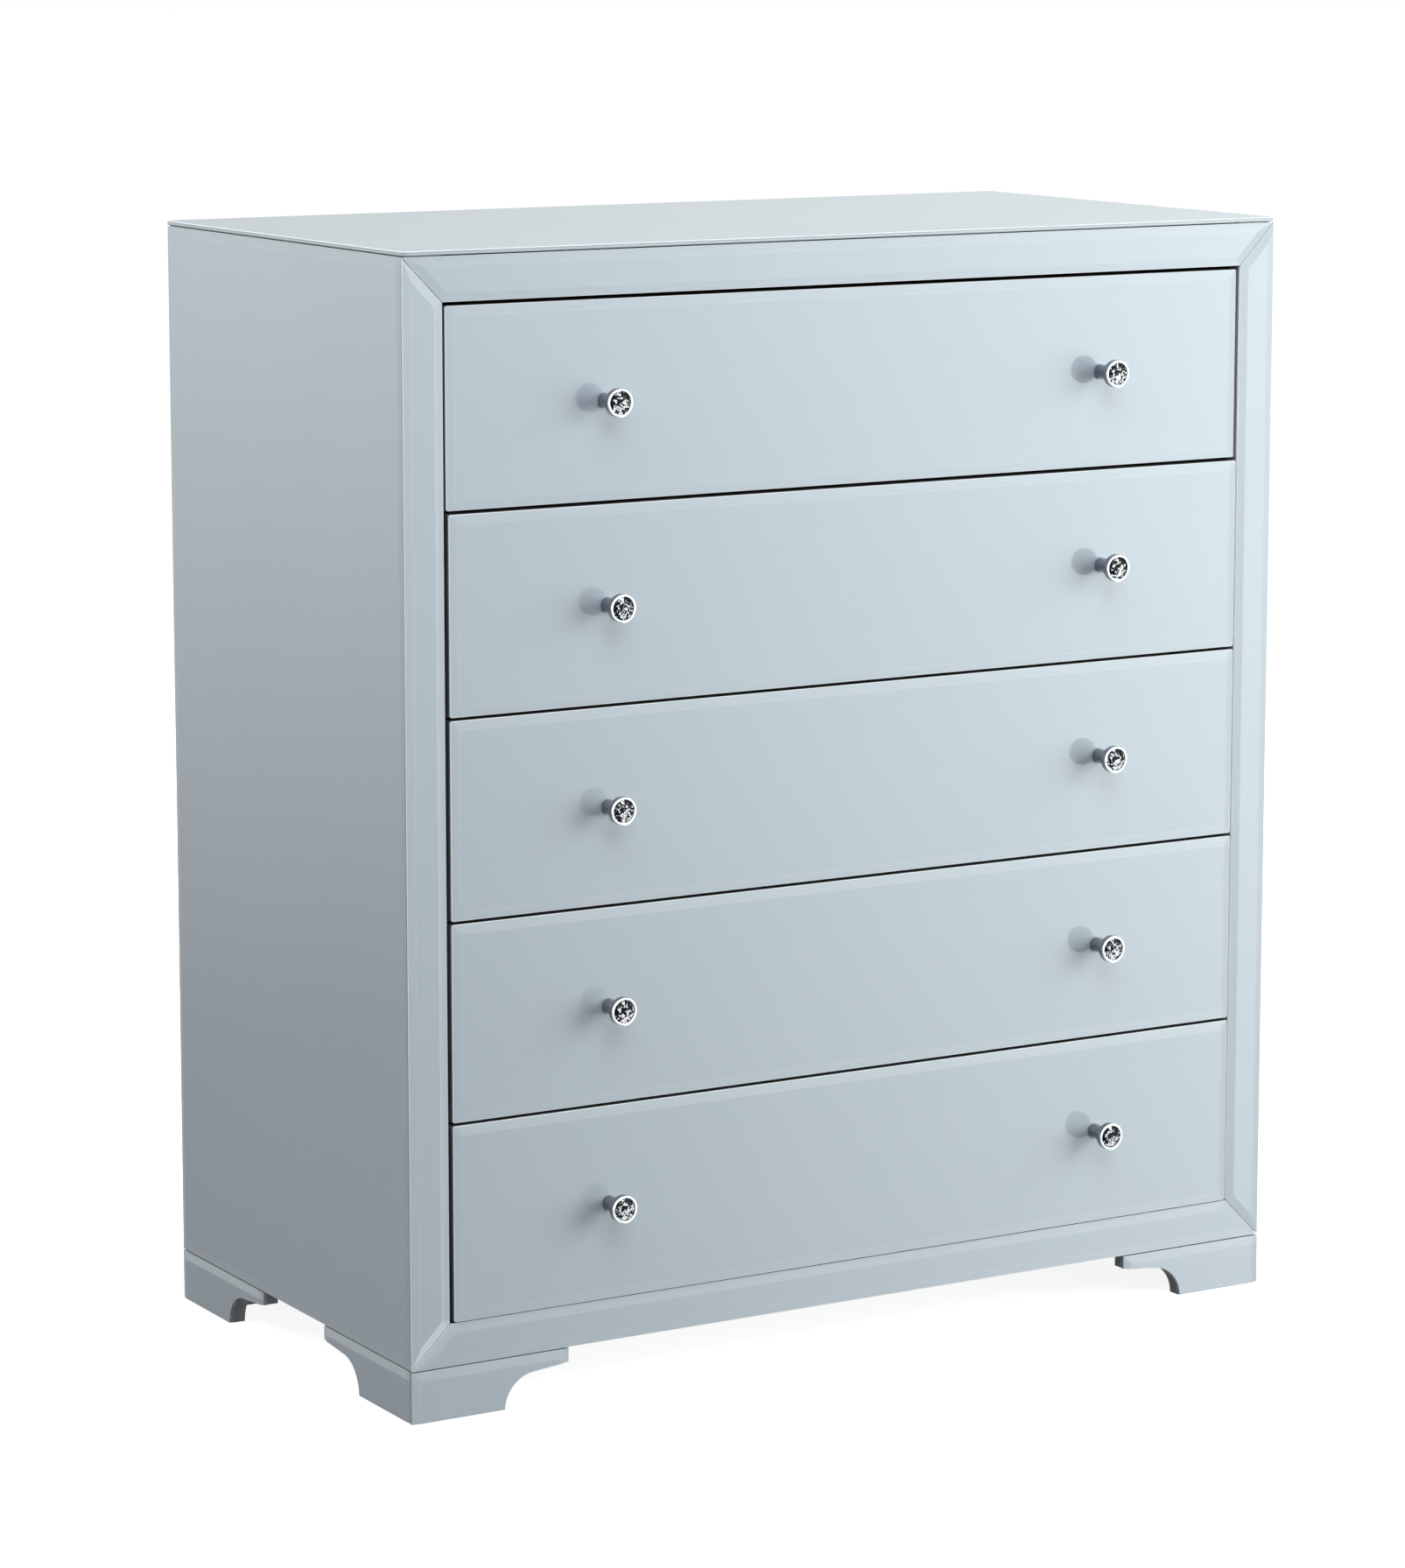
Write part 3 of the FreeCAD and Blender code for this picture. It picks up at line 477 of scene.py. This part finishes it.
def crystalMaterial():
    # a foil-backed stone: every facet, and the smaller reflections inside it, is painted nearly black or
    # nearly white, a painted reflection, and the whites glow, a painted highlight, under a hard clear gloss
    material, tree, shader, coordinates = newMaterial(
        "cutCrystal", Roughness=0.04, Specular_IOR_Level=0.1, Emission_Strength=crystalLook["paintedGlow"])
    normal = addNode(tree, "ShaderNodeNewGeometry").outputs["True Normal"]
    mapping = addNode(tree, "ShaderNodeVectorMath", operation="SCALE")
    mapping.inputs["Scale"].default_value = crystalLook["facet"]
    tree.links.new(normal, mapping.inputs[0])
    perFacet = addNode(tree, "ShaderNodeTexWhiteNoise", noise_dimensions="3D")
    snapped = addNode(tree, "ShaderNodeVectorMath", operation="SNAP")
    snapped.inputs[1].default_value = crystalLook["snap"]
    tree.links.new(mapping.outputs["Vector"], snapped.inputs[0])
    tree.links.new(snapped.outputs["Vector"], perFacet.inputs["Vector"])
    cells = addNode(tree, "ShaderNodeTexVoronoi", feature="F1", distance="CHEBYCHEV")
    cells.inputs["Scale"].default_value = crystalLook["cell"]
    tree.links.new(coordinates, cells.inputs["Vector"])
    cellTone = addNode(tree, "ShaderNodeSeparateColor")
    tree.links.new(cells.outputs["Color"], cellTone.inputs["Color"])
    facetPart = calculate(tree, "MULTIPLY", perFacet.outputs["Value"], crystalLook["facetShare"])
    cellPart = calculate(tree, "MULTIPLY", cellTone.outputs["Red"], crystalLook["cellShare"])
    both = calculate(tree, "ADD", facetPart, cellPart)
    ramp = addNode(tree, "ShaderNodeValToRGB")
    ramp.color_ramp.interpolation = "CONSTANT"
    ramp.color_ramp.elements[0].color = crystalLook["black"]
    ramp.color_ramp.elements[1].position = crystalLook["whiteFrom"]
    ramp.color_ramp.elements[1].color = crystalLook["white"]
    grey = ramp.color_ramp.elements.new(crystalLook["greyFrom"])
    grey.color = crystalLook["grey"]
    tree.links.new(both, ramp.inputs["Fac"])
    tree.links.new(ramp.outputs["Color"], shader.inputs["Base Color"])
    tree.links.new(ramp.outputs["Color"], shader.inputs["Emission Color"])
    return material


crystal = crystalMaterial()
print("materials made")


# glass panes

paneSizes = {"bevel": 0.008, "drop": 0.0015, "ridge": 0.0004, "arris": 0.00045, "nip": 0.0018,
             "topCorner": 0.0045, "topArris": 0.0007}

paneSlot = {"face": 0, "bevel": 1, "ridge": 2, "edge": 3, "litEdge": 4, "arris": 5}
leanAbove = {"face": 0.9995, "ridge": 0.991, "bevel": 0.97, "arris": 0.15}  # how squarely a face looks out


def paint(piece, facing, edge=paneEdge):
    # the materials go in with paneSlot's order, and a face that leans less than an arris is an edge
    piece.data.materials.clear()
    for material in (paneFace, paneBevel, paneRidgeHighlight, edge, litEdge, paneArrisHighlight):
        piece.data.materials.append(material)
    for polygon in piece.data.polygons:
        lean = polygon.normal.dot(facing)
        kind = next((kind for kind, least in leanAbove.items() if lean > least), "edge")
        polygon.material_index = paneSlot[kind]


def bevelPane(piece, facing):
    # the front face is drawn in by the bevel's width, then its rim is pushed back
    pick(piece, "FACE", lambda face: face.normal.dot(facing) > 0.99)
    bpy.ops.mesh.inset(thickness=paneSizes["bevel"], depth=0)
    leaveEdit()
    faceAt = max(vertex.co.dot(facing) for vertex in piece.data.vertices)
    flat = [face for face in piece.data.polygons if face.select][0]
    inner = set(flat.vertices)
    pick(piece, "VERT", lambda vertex: vertex.index not in inner and vertex.co.dot(facing) > faceAt - 1e-5)
    bpy.ops.transform.translate(value=-facing * paneSizes["drop"])
    leaveEdit()
    ridgeEdges(piece, facing)


def ridgeEdges(piece, facing):
    # a narrow flat where the bevel meets the face; paint() gives it the paler ridge material, a painted
    # highlight
    faceAt = max(vertex.co.dot(facing) for vertex in piece.data.vertices)
    sides = {}
    for face in piece.data.polygons:
        tilted = 0.5 < face.normal.dot(facing) < leanAbove["face"]
        for key in face.edge_keys:
            sides.setdefault(key, set()).add(tilted)

    def isRidge(edge):
        ends = [piece.data.vertices[i].co.dot(facing) for i in edge.vertices]
        return min(ends) > faceAt - 1e-5 and len(sides[edge.key]) == 2

    pick(piece, "EDGE", isRidge)
    bpy.ops.mesh.bevel(offset=paneSizes["ridge"], segments=1, affect="EDGES")
    leaveEdit()


def roundCorners(piece, facing, radius, segments):
    # the upright edges at the corners, which run straight through the glass
    def isCorner(edge):
        ends = [piece.data.vertices[i].co for i in edge.vertices]
        along = ends[1] - ends[0]
        return along.length > 1e-6 and abs(along.normalized().dot(facing)) > 0.999

    pick(piece, "EDGE", isCorner)
    bpy.ops.mesh.bevel(offset=radius, segments=segments, affect="EDGES")
    leaveEdit()


def arrisEdges(piece, width):
    useModifier(piece, "BEVEL", width=width, segments=2, limit_method="ANGLE", angle_limit=math.radians(30))


def finishPane(piece, facing, body, *replaced):
    arrisEdges(piece, paneSizes["arris"])
    outward(piece)
    paint(piece, facing)
    finishPiece(piece, body, "white_glass", *replaced)


def makeSidePanes():
    for name, node, facing in (("leftSidePane", "left_side_glass", Vector((-1, 0, 0))),
                               ("rightSidePane", "right_side_glass", Vector((1, 0, 0)))):
        piece = addBlock(name, *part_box(node))
        bevelPane(piece, facing)
        finishPane(piece, facing, "cabinet", node)


def makeTopPane():
    piece = addBlock("topPane", *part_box("top_glass"))
    up = Vector((0, 0, 1))
    roundCorners(piece, up, paneSizes["topCorner"], 8)
    useModifier(piece, "BEVEL", width=paneSizes["topArris"], segments=3, limit_method="ANGLE",
                angle_limit=math.radians(50))
    outward(piece)
    paint(piece, up, topEdgeWithHighlights)
    finishPiece(piece, "cabinet", "white_glass", "top_glass")


def glowingEdgesInside(piece, middle):
    # the upright edges that face the opening get the glowing lit edge: painted light
    for polygon in piece.data.polygons:
        inwards = (middle - polygon.center).dot(polygon.normal) > 0.05
        if polygon.material_index == paneSlot["edge"] and inwards and abs(polygon.normal.x) > 0.99:
            polygon.material_index = paneSlot["litEdge"]


front = Vector((0, -1, 0))


def makeFrameStrips():
    low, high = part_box("rail_glass")
    outerLow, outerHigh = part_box("stile_glass")
    middle = (low.z + high.z) / 2
    centre = (low + high) / 2
    stile = frameSizes["stile"]
    top = frameSizes["topRail"] - frameSizes["joint"]
    bottom = frameSizes["bottomRail"]
    rails = (("topRailStrip", high.z - top, high.z, high.z - top),
             ("bottomRailStrip", low.z, low.z + bottom, low.z + bottom))
    for name, lowZ, highZ, innerZ in rails:
        piece = addBlock(name, (low.x, low.y, lowZ), (high.x, high.y, highZ))
        for side in (-1, 1):
            pick(piece, "VERT", lambda v: abs(v.co.z - innerZ) < 1e-5 and v.co.x * side > 0)
            bpy.ops.transform.translate(value=(-side * stile, 0, 0))
        bevelPane(piece, front)
        finishPane(piece, front, "cabinet", "rail_glass")
        glowingEdgesInside(piece, centre)
    for name, side in (("leftStileStrip", -1), ("rightStileStrip", 1)):
        ends = sorted((side * outerHigh.x, side * (outerHigh.x - stile)))
        piece = addBlock(name, (ends[0], outerLow.y, outerLow.z), (ends[1], outerHigh.y, outerHigh.z))
        inner = outerHigh.x - stile
        for upper, shift in ((True, -top), (False, bottom)):
            pick(piece, "VERT", lambda v: abs(abs(v.co.x) - inner) < 1e-5 and (v.co.z > middle) == upper)
            bpy.ops.transform.translate(value=(0, 0, shift))
        bevelPane(piece, front)
        finishPane(piece, front, "cabinet", "stile_glass")
        glowingEdgesInside(piece, centre)


def makeDrawerPanes():
    first = None
    firstLow = None
    for number in drawerNumbers:
        node = f"drawer_{number}_front_glass"
        low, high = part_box(node)
        name = f"drawer{number}Pane"
        if first is None:
            piece = addBlock(name, low, high)
            bevelPane(piece, front)
            roundCorners(piece, front, paneSizes["nip"], 3)
            arrisEdges(piece, paneSizes["arris"])
            outward(piece)
            paint(piece, front)
            first, firstLow = piece, low
        else:
            piece = copyTo(first, name, low - firstLow)
        finishPiece(piece, f"drawer_{number}", "white_glass", node)


makeSidePanes()
makeTopPane()
makeFrameStrips()
makeDrawerPanes()
print("large panes made")


# the feet's glass

footSizes = {"frontFloor": 0.0915, "frontLength": 0.156, "sideFloor": 0.1035, "sideLength": 0.175,
             "radius": 0.031, "turn": 84, "tip": 0.013, "bevel": 0.0075, "foot": 0.0475,
             "arris": 0.0003}


def makeFootPane(name, corner, along, facing, floor, length, glass):
    # corner is where the pane's outer end meets the floor at its face; along runs to the tip
    low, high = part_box("foot_glass")
    tallness = high.z - low.z
    far = corner + along * length - facing * glass + Vector((0, 0, tallness))
    piece = addBlock(name, [min(a, b) for a, b in zip(corner, far)],
                     [max(a, b) for a, b in zip(corner, far)])
    topZ = high.z
    step = footSizes["bevel"]
    for point, normal in ((Vector((0, 0, topZ - step)), Vector((0, 0, 1))),
                          (corner + along * step, along), (corner + along * (length - step), along)):
        pick(piece, "FACE", lambda face: True)
        bpy.ops.mesh.bisect(plane_co=point, plane_no=normal)
        leaveEdit()

    def onRim(vertex):
        run = (vertex.co - corner).dot(along)
        atFront = abs((vertex.co - corner).dot(facing)) < 1e-5
        return atFront and (run < 1e-5 or run > length - 1e-5 or vertex.co.z > topZ - 1e-5)

    pick(piece, "VERT", onRim)
    bpy.ops.transform.translate(value=-facing * paneSizes["drop"])
    leaveEdit()
    ridgeEdges(piece, facing)
    scoopFoot(piece, corner, along, facing, floor, length, glass)
    arrisEdges(piece, footSizes["arris"])
    outward(piece)
    paint(piece, facing)
    finishPiece(piece, "cabinet", "white_glass", "foot_glass")


def scoopFoot(piece, corner, along, facing, floor, length, glass):
    # a cutter with the shape of the space under the arm: a drum for the scoop, and a slab
    # whose top edge rises a little towards the tip
    radius = footSizes["radius"]
    turn = math.radians(footSizes["turn"])
    axis = corner + along * (floor + radius) - facing * glass / 2
    axis.z = 0
    across = (0, math.pi / 2, 0) if abs(facing.x) > 0.5 else (math.pi / 2, 0, 0)
    leaveEdit()
    bpy.ops.object.select_all(action="DESELECT")
    bpy.ops.mesh.primitive_cylinder_add(vertices=96, radius=radius, depth=glass * 3, location=axis,
                                        rotation=across)
    drum = settle(bpy.context.object, "drum")
    startRun = floor + radius * (1 - math.cos(turn))
    startZ = radius * math.sin(turn)
    tipZ = footSizes["foot"] - footSizes["tip"]
    over = 0.01
    slope = (tipZ - startZ) / (length - startRun)
    nearEnd = corner + along * startRun + facing * glass
    farEnd = corner + along * (length + over) - facing * glass * 2
    nearEnd.z, farEnd.z = -over, startZ
    slab = addBlock("slab", [min(a, b) for a, b in zip(nearEnd, farEnd)],
                    [max(a, b) for a, b in zip(nearEnd, farEnd)])
    tipRun = length + over
    pick(slab, "VERT", lambda v: v.co.z > 0 and (v.co - corner).dot(along) > tipRun - 1e-5)
    bpy.ops.transform.translate(value=(0, 0, slope * (tipRun - startRun)))
    leaveEdit()
    for cutter in (drum, slab):
        useModifier(piece, "BOOLEAN", operation="DIFFERENCE", solver="EXACT", object=cutter)
        bpy.data.objects.remove(cutter)


def makeFootGlass():
    low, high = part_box("foot_glass")
    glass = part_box("top_glass")[1].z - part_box("top_glass")[0].z
    left, right, near, far, floorZ = low.x, high.x, low.y, high.y, low.z
    xAxis, yAxis = Vector((1, 0, 0)), Vector((0, 1, 0))
    sizes = footSizes
    for side, x, inwards in (("Left", left, xAxis), ("Right", right, -xAxis)):
        makeFootPane(f"front{side}FootFrontPane", Vector((x, near, floorZ)), inwards, -yAxis,
                     sizes["frontFloor"], sizes["frontLength"], glass)
        makeFootPane(f"front{side}FootSidePane", Vector((x, near + glass, floorZ)), yAxis, -inwards,
                     sizes["sideFloor"] - glass, sizes["sideLength"] - glass, glass)
        makeFootPane(f"rear{side}FootSidePane", Vector((x, far, floorZ)), -yAxis, -inwards,
                     sizes["sideFloor"], sizes["sideLength"], glass)


makeFootGlass()
print("foot panes made")


# knobs, crystals and their screws

knobSizes = {"ring": 72, "rim": 0.0125, "cup": 0.0103, "stem": 0.00675, "cupDepth": 0.0032, "head": 0.0065,
             "edge": 0.0007, "neck": 0.0012, "fillet": 0.0004}


def lathe(name, centre, rings, segments, closeStart=True, closeEnd=True):
    # rings are (radius, distance along +Y) pairs, turned about the Y axis through centre
    leaveEdit()
    bpy.ops.object.select_all(action="DESELECT")
    radius, run = rings[0]
    start = centre + Vector((0, run, 0))
    fill = "NGON" if closeStart else "NOTHING"
    bpy.ops.mesh.primitive_circle_add(vertices=segments, radius=radius, location=start,
                                      rotation=(math.pi / 2, 0, 0), fill_type=fill)
    piece = settle(bpy.context.object, name)
    only(piece)
    bpy.ops.object.mode_set(mode="EDIT")
    bpy.ops.mesh.select_mode(type="EDGE")
    bpy.ops.mesh.select_all(action="SELECT")
    for (oldRadius, oldRun), (newRadius, newRun) in zip(rings, rings[1:]):
        bpy.ops.mesh.extrude_edges_move(TRANSFORM_OT_translate={"value": (0, newRun - oldRun, 0)})
        ratio = newRadius / oldRadius
        bpy.ops.transform.resize(value=(ratio, 1, ratio), center_override=centre + Vector((0, newRun, 0)))
    if closeEnd:
        bpy.ops.mesh.edge_face_add()
    leaveEdit()
    outward(piece)
    return piece


def makeKnob(name, tip, reach):
    s = knobSizes
    edge = s["edge"]
    fillet = s["fillet"]
    rings = [(s["cup"] - fillet, s["cupDepth"]), (s["cup"], s["cupDepth"] - fillet), (s["cup"], edge * 0.6),
             (s["cup"] + edge * 0.35, edge * 0.12), (s["cup"] + edge, 0), (s["rim"] - edge, 0),
             (s["rim"] - edge * 0.3, edge * 0.3), (s["rim"], edge), (s["rim"], s["head"] - edge),
             (s["rim"] - edge * 0.3, s["head"] - edge * 0.3), (s["rim"] - edge, s["head"]),
             (s["stem"] + s["neck"], s["head"]), (s["stem"] + s["neck"] * 0.3, s["head"] + s["neck"] * 0.3),
             (s["stem"], s["head"] + s["neck"]), (s["stem"], reach - edge), (s["stem"] - edge, reach)]
    knob = lathe(name, tip, rings, s["ring"])
    smooth(knob, 40)
    knob.data.materials.append(chromeShadedBody)
    knob.data.materials.append(chromeRimPaintedHighlight)
    for polygon in knob.data.polygons:
        away = polygon.center - tip
        # the rim's front ring takes the near-white chrome, a painted highlight; the rest takes the dark
        # chrome, painted shade
        polygon.material_index = int(away.y < edge and math.hypot(away.x, away.z) > s["cup"] * 0.97)
    return knob


crystalSizes = {"radius": 0.0102, "girdle": 0.0018, "sink": 0.0003, "table": 0.0050, "sides": 8,
                "innerSlope": 0.62, "innerRing": 0.985, "outerSlope": 1.32, "outerRing": 0.995}


def makeCrystal(name, tip):
    # cut the way a stone is: a round blank, then one flat cut after another
    s = crystalSizes
    back = knobSizes["cupDepth"]
    shoulder = back - s["girdle"]
    crown = shoulder - s["sink"]
    blank = [(s["radius"], back), (s["radius"], s["sink"])]
    piece = lathe(name, tip, blank, 64)
    mainSlope = math.atan2(crown, s["radius"] - s["table"])
    cuts = []
    for step in range(s["sides"]):
        angle = step * 2 * math.pi / s["sides"]
        half = math.pi / s["sides"]
        cuts.append((angle, mainSlope, s["radius"], shoulder))
        cuts.append((angle + half, mainSlope * s["innerSlope"], s["table"] * s["innerRing"], s["sink"]))
        for offset in (half / 2, -half / 2):
            steep = mainSlope * s["outerSlope"]
            cuts.append((angle + offset, steep, s["radius"] * s["outerRing"], shoulder))
    for angle, slope, radius, run in cuts:
        radial = Vector((math.cos(angle), 0, math.sin(angle)))
        point = tip + radial * radius + Vector((0, run, 0))
        normal = radial * math.sin(slope) + Vector((0, -math.cos(slope), 0))
        pick(piece, "FACE", lambda face: True)
        bpy.ops.mesh.bisect(plane_co=point, plane_no=normal, use_fill=True, clear_outer=True)
        leaveEdit()
    outward(piece)
    piece.data.materials.append(crystal)
    return piece


screwSizes = {"shank": 0.002, "head": 0.004, "cap": 0.0024, "grip": 0.010, "slot": 0.0007,
              "chamfer": 0.0004}


def makeKnobScrew(name, tip, reach, seat):
    s = screwSizes
    end = reach - s["grip"]
    rings = [(s["shank"] - s["chamfer"], end), (s["shank"], end + s["chamfer"]), (s["shank"], seat),
             (s["head"], seat), (s["head"], seat + s["cap"] * 0.45),
             (s["head"] * 0.8, seat + s["cap"] * 0.85), (s["head"] * 0.45, seat + s["cap"])]
    screw = lathe(name, tip, rings, 32)
    slot = s["slot"]
    for long, short in ((s["head"] * 0.62, slot / 2), (slot / 2, s["head"] * 0.62)):
        cutter = addBlock("cutter", tip + Vector((-long, seat + s["cap"] * 0.45, -short)),
                          tip + Vector((long, seat + s["cap"] * 2, short)))
        useModifier(screw, "BOOLEAN", operation="DIFFERENCE", solver="EXACT", object=cutter)
        bpy.data.objects.remove(cutter)
    smooth(screw, 35)
    screw.data.materials.append(screwZinc)
    return screw


def makeKnobs():
    masters = None
    for number in drawerNumbers:
        low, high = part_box(f"drawer_{number}_knobs")
        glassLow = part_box(f"drawer_{number}_front_glass")[0]
        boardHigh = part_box(f"drawer_{number}_front_board")[1]
        reach = glassLow.y - low.y
        seat = boardHigh.y - low.y
        for side, x in (("Left", low.x + knobSizes["rim"]), ("Right", high.x - knobSizes["rim"])):
            tip = Vector((x, low.y, (low.z + high.z) / 2))
            names = [f"drawer{number}{side}{part}" for part in ("Knob", "KnobScrew", "Crystal")]
            if masters is None:
                made = [makeKnob(names[0], tip, reach), makeKnobScrew(names[1], tip, reach, seat),
                        makeCrystal(names[2], tip)]
                masters, masterTip = made, tip
            else:
                made = [copyTo(master, name, tip - masterTip) for master, name in zip(masters, names)]
            finishPiece(made[0], f"drawer_{number}", "knob_chrome", f"drawer_{number}_knobs")
            finishPiece(made[1], f"drawer_{number}", "screw_steel", f"drawer_{number}_knobs")
            finishPiece(made[2], f"drawer_{number}", "crystal", f"drawer_{number}_crystals")


makeKnobs()
print("knobs made")


# finishes of the pieces that keep their own shape

nodeFinish = {"left_side_panel": filmBoard, "right_side_panel": filmBoard, "top_panel": darkBoardAndGapShade,
              "bottom_panel": filmBoard, "back_panel": hardboard, "face_frame": frameBoard,
              "front_left_foot": footBoard, "front_right_foot": footBoard, "rear_left_foot": footBoard,
              "rear_right_foot": footBoard, "foot_screws": screwZinc, "cabinet_runners": runnerSteel,
              "runner_battens": softwood, "runner_screws": screwZinc}
drawerFinish = {"front_board": darkBoardAndGapShade, "box_walls": drawerFilm, "bottom": hardboard,
                "runners": runnerSteel, "ball_cages": cageSteel}
for number in drawerNumbers:
    for part, material in drawerFinish.items():
        nodeFinish[f"drawer_{number}_{part}"] = material
softened = ("panel", "frame", "foot", "battens", "board", "walls", "bottom")
softening = {"weld": 1e-5, "width": 0.0005, "segments": 2, "angle": 40}
for name, material in nodeFinish.items():
    piece = nodes[name]
    piece.data.materials.clear()
    piece.data.materials.append(material)
    if name.endswith(softened):
        weld = piece.modifiers.new("weld", "WELD")
        weld.merge_threshold = softening["weld"]
        ease = piece.modifiers.new("ease", "BEVEL")
        ease.width = softening["width"]
        ease.segments = softening["segments"]
        ease.limit_method = "ANGLE"
        ease.angle_limit = math.radians(softening["angle"])
print("finishes given")


# studio

studio = {
    "paper": (1.0, 1.0, 1.0, 1), "paperBounce": (0.16, 0.165, 0.17, 1), "paperGlow": 0.87, "paperSize": 60.0,
    "air": (0.93, 0.975, 1.0, 1), "all": 0.10, "above": 0.10,
}
mirrored = {  # brightness that the glass and chrome mirror, by direction
    "air": (0.91, 0.98, 0.985, 1), "room": 0.6,
    "panel": 3.7, "panelSpan": (0.44, 0.60), "pastPanel": 0.42, "pastSpan": (0.64, 0.71),
    "wall": 1.15, "wallSpan": (-0.22, -0.07), "high": 0.7, "highSpan": (0.27, 0.33),
    "behind": (0.66, 1.0), "behindLine": (0.42, 0.66), "behindSpan": (0.5, 1.1),
}
lamps = {  # place, aimed at, size, watts, colour
    "rightFront": ((2.15, -1.75, 0.75), (0.1, -0.2, 0.45), 3.0, 88.0, (0.96, 1.0, 0.975)),
    "leftAbove": ((-2.0, -0.1, 2.4), (-0.45, 0.0, 0.8), 1.6, 26.5, (0.98, 0.98, 1.0)),
    "frontAbove": ((-0.7, -2.4, 2.9), (0.0, -0.2, 0.6), 2.2, 33.0, (0.86, 0.91, 1.0)),
    "behind": ((0.9, 2.6, 1.9), (0.0, 0.25, 0.5), 1.6, 45.0, (1.0, 1.0, 1.0)),
}
view = {"left": 1.911, "back": 3.731, "up": 1.296, "turn": 30.5, "tilt": 8.62, "lens": 116.7,
        "sensor": 36, "shift": -0.08}


def mirrorLevel(tree, x, y, z):
    # the drawers mirror a bright panel, which the bevels on their right look past
    panel = remap(tree, x, *mirrored["panelSpan"], mirrored["room"], mirrored["panel"])
    past = remap(tree, x, *mirrored["pastSpan"], 1.0, mirrored["pastPanel"])
    panel = calculate(tree, "MULTIPLY", panel, past)
    wall = remap(tree, z, *mirrored["wallSpan"], 0.0, mirrored["wall"])
    level = calculate(tree, "ADD", panel, wall)
    level = mixValue(tree, remap(tree, z, *mirrored["highSpan"], 0.0, 1.0), level, mirrored["high"])
    # dimmer behind the chest, where the top mirrors the room
    behind = remap(tree, x, *mirrored["behindLine"], *mirrored["behind"])
    away = remap(tree, calculate(tree, "ADD", x, y), *mirrored["behindSpan"], 0.0, 1.0)
    return mixValue(tree, away, level, behind)


def makeWorld():
    # the background is white, what lights the surfaces is dim, and what they mirror is set apart
    world = bpy.data.worlds.new("studioWorld")
    bpy.context.scene.world = world
    world.use_nodes = True
    tree = world.node_tree
    background = tree.nodes["Background"]
    direction = addNode(tree, "ShaderNodeTexCoord").outputs["Generated"]
    split = addNode(tree, "ShaderNodeSeparateXYZ")
    tree.links.new(direction, split.inputs["Vector"])
    upwards = calculate(tree, "MAXIMUM", split.outputs["Z"], 0.0)
    level = calculate(tree, "ADD", calculate(tree, "MULTIPLY", upwards, studio["above"]), studio["all"])
    glare = mirrorLevel(tree, split.outputs["X"], split.outputs["Y"], split.outputs["Z"])
    path = addNode(tree, "ShaderNodeLightPath")
    color = mixColor(tree, path.outputs["Is Glossy Ray"], studio["air"], mirrored["air"])
    color = mixColor(tree, path.outputs["Is Camera Ray"], color, studio["paper"])
    tree.links.new(color, background.inputs["Color"])
    strength = mixValue(tree, path.outputs["Is Glossy Ray"], level, glare)
    strength = mixValue(tree, path.outputs["Is Camera Ray"], strength, 1.0)
    tree.links.new(strength, background.inputs["Strength"])


def makeFloor():
    leaveEdit()
    bpy.ops.object.select_all(action="DESELECT")
    bpy.ops.mesh.primitive_plane_add(size=studio["paperSize"], location=(0, 0, 0))
    floor = settle(bpy.context.object, "studioPaper")
    material, tree, shader = newMaterial("studioPaper", Roughness=0.9, Specular_IOR_Level=0.0)[:3]
    seen = addNode(tree, "ShaderNodeLightPath").outputs["Is Camera Ray"]
    tree.links.new(mixColor(tree, seen, studio["paperBounce"], studio["paper"]), shader.inputs["Base Color"])
    shader.inputs["Emission Color"].default_value = studio["paper"]
    tree.links.new(mixValue(tree, seen, 0.0, studio["paperGlow"]), shader.inputs["Emission Strength"])
    # seen from below, the paper isn't there
    beneath = addNode(tree, "ShaderNodeNewGeometry").outputs["Backfacing"]
    tree.links.new(calculate(tree, "SUBTRACT", 1.0, beneath), shader.inputs["Alpha"])
    floor.visible_glossy = False
    floor.data.materials.append(material)


def makeLamp(name, place, target, size, power, color):
    data = bpy.data.lights.new(name, "AREA")
    data.shape = "SQUARE"
    data.size = size
    data.energy = power
    data.color = color
    lamp = bpy.data.objects.new(name, data)
    bpy.context.scene.collection.objects.link(lamp)
    lamp.visible_glossy = False
    lamp.location = place
    lamp.rotation_euler = (Vector(target) - Vector(place)).to_track_quat("-Z", "Y").to_euler()


def makeCamera():
    low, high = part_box("top_glass")
    corner = Vector((low.x, low.y, 0))
    tall = high.z
    camera = bpy.data.objects.new("camera", bpy.data.cameras.new("camera"))
    bpy.context.scene.collection.objects.link(camera)
    camera.location = corner + Vector((-view["left"], -view["back"], view["up"])) * tall
    camera.rotation_euler = (math.radians(90 - view["tilt"]), 0, math.radians(-view["turn"]))
    camera.data.lens = view["lens"]
    camera.data.sensor_width = view["sensor"]
    camera.data.shift_y = view["shift"]
    bpy.context.scene.camera = camera


makeWorld()
makeFloor()
makeCamera()
for name, lamp in lamps.items():
    makeLamp(name, *lamp)
bpy.context.scene.view_settings.view_transform = "Standard"
print("studio set")

for thing in bpy.data.objects:
    thing.select_set(False)
bpy.context.view_layer.update()
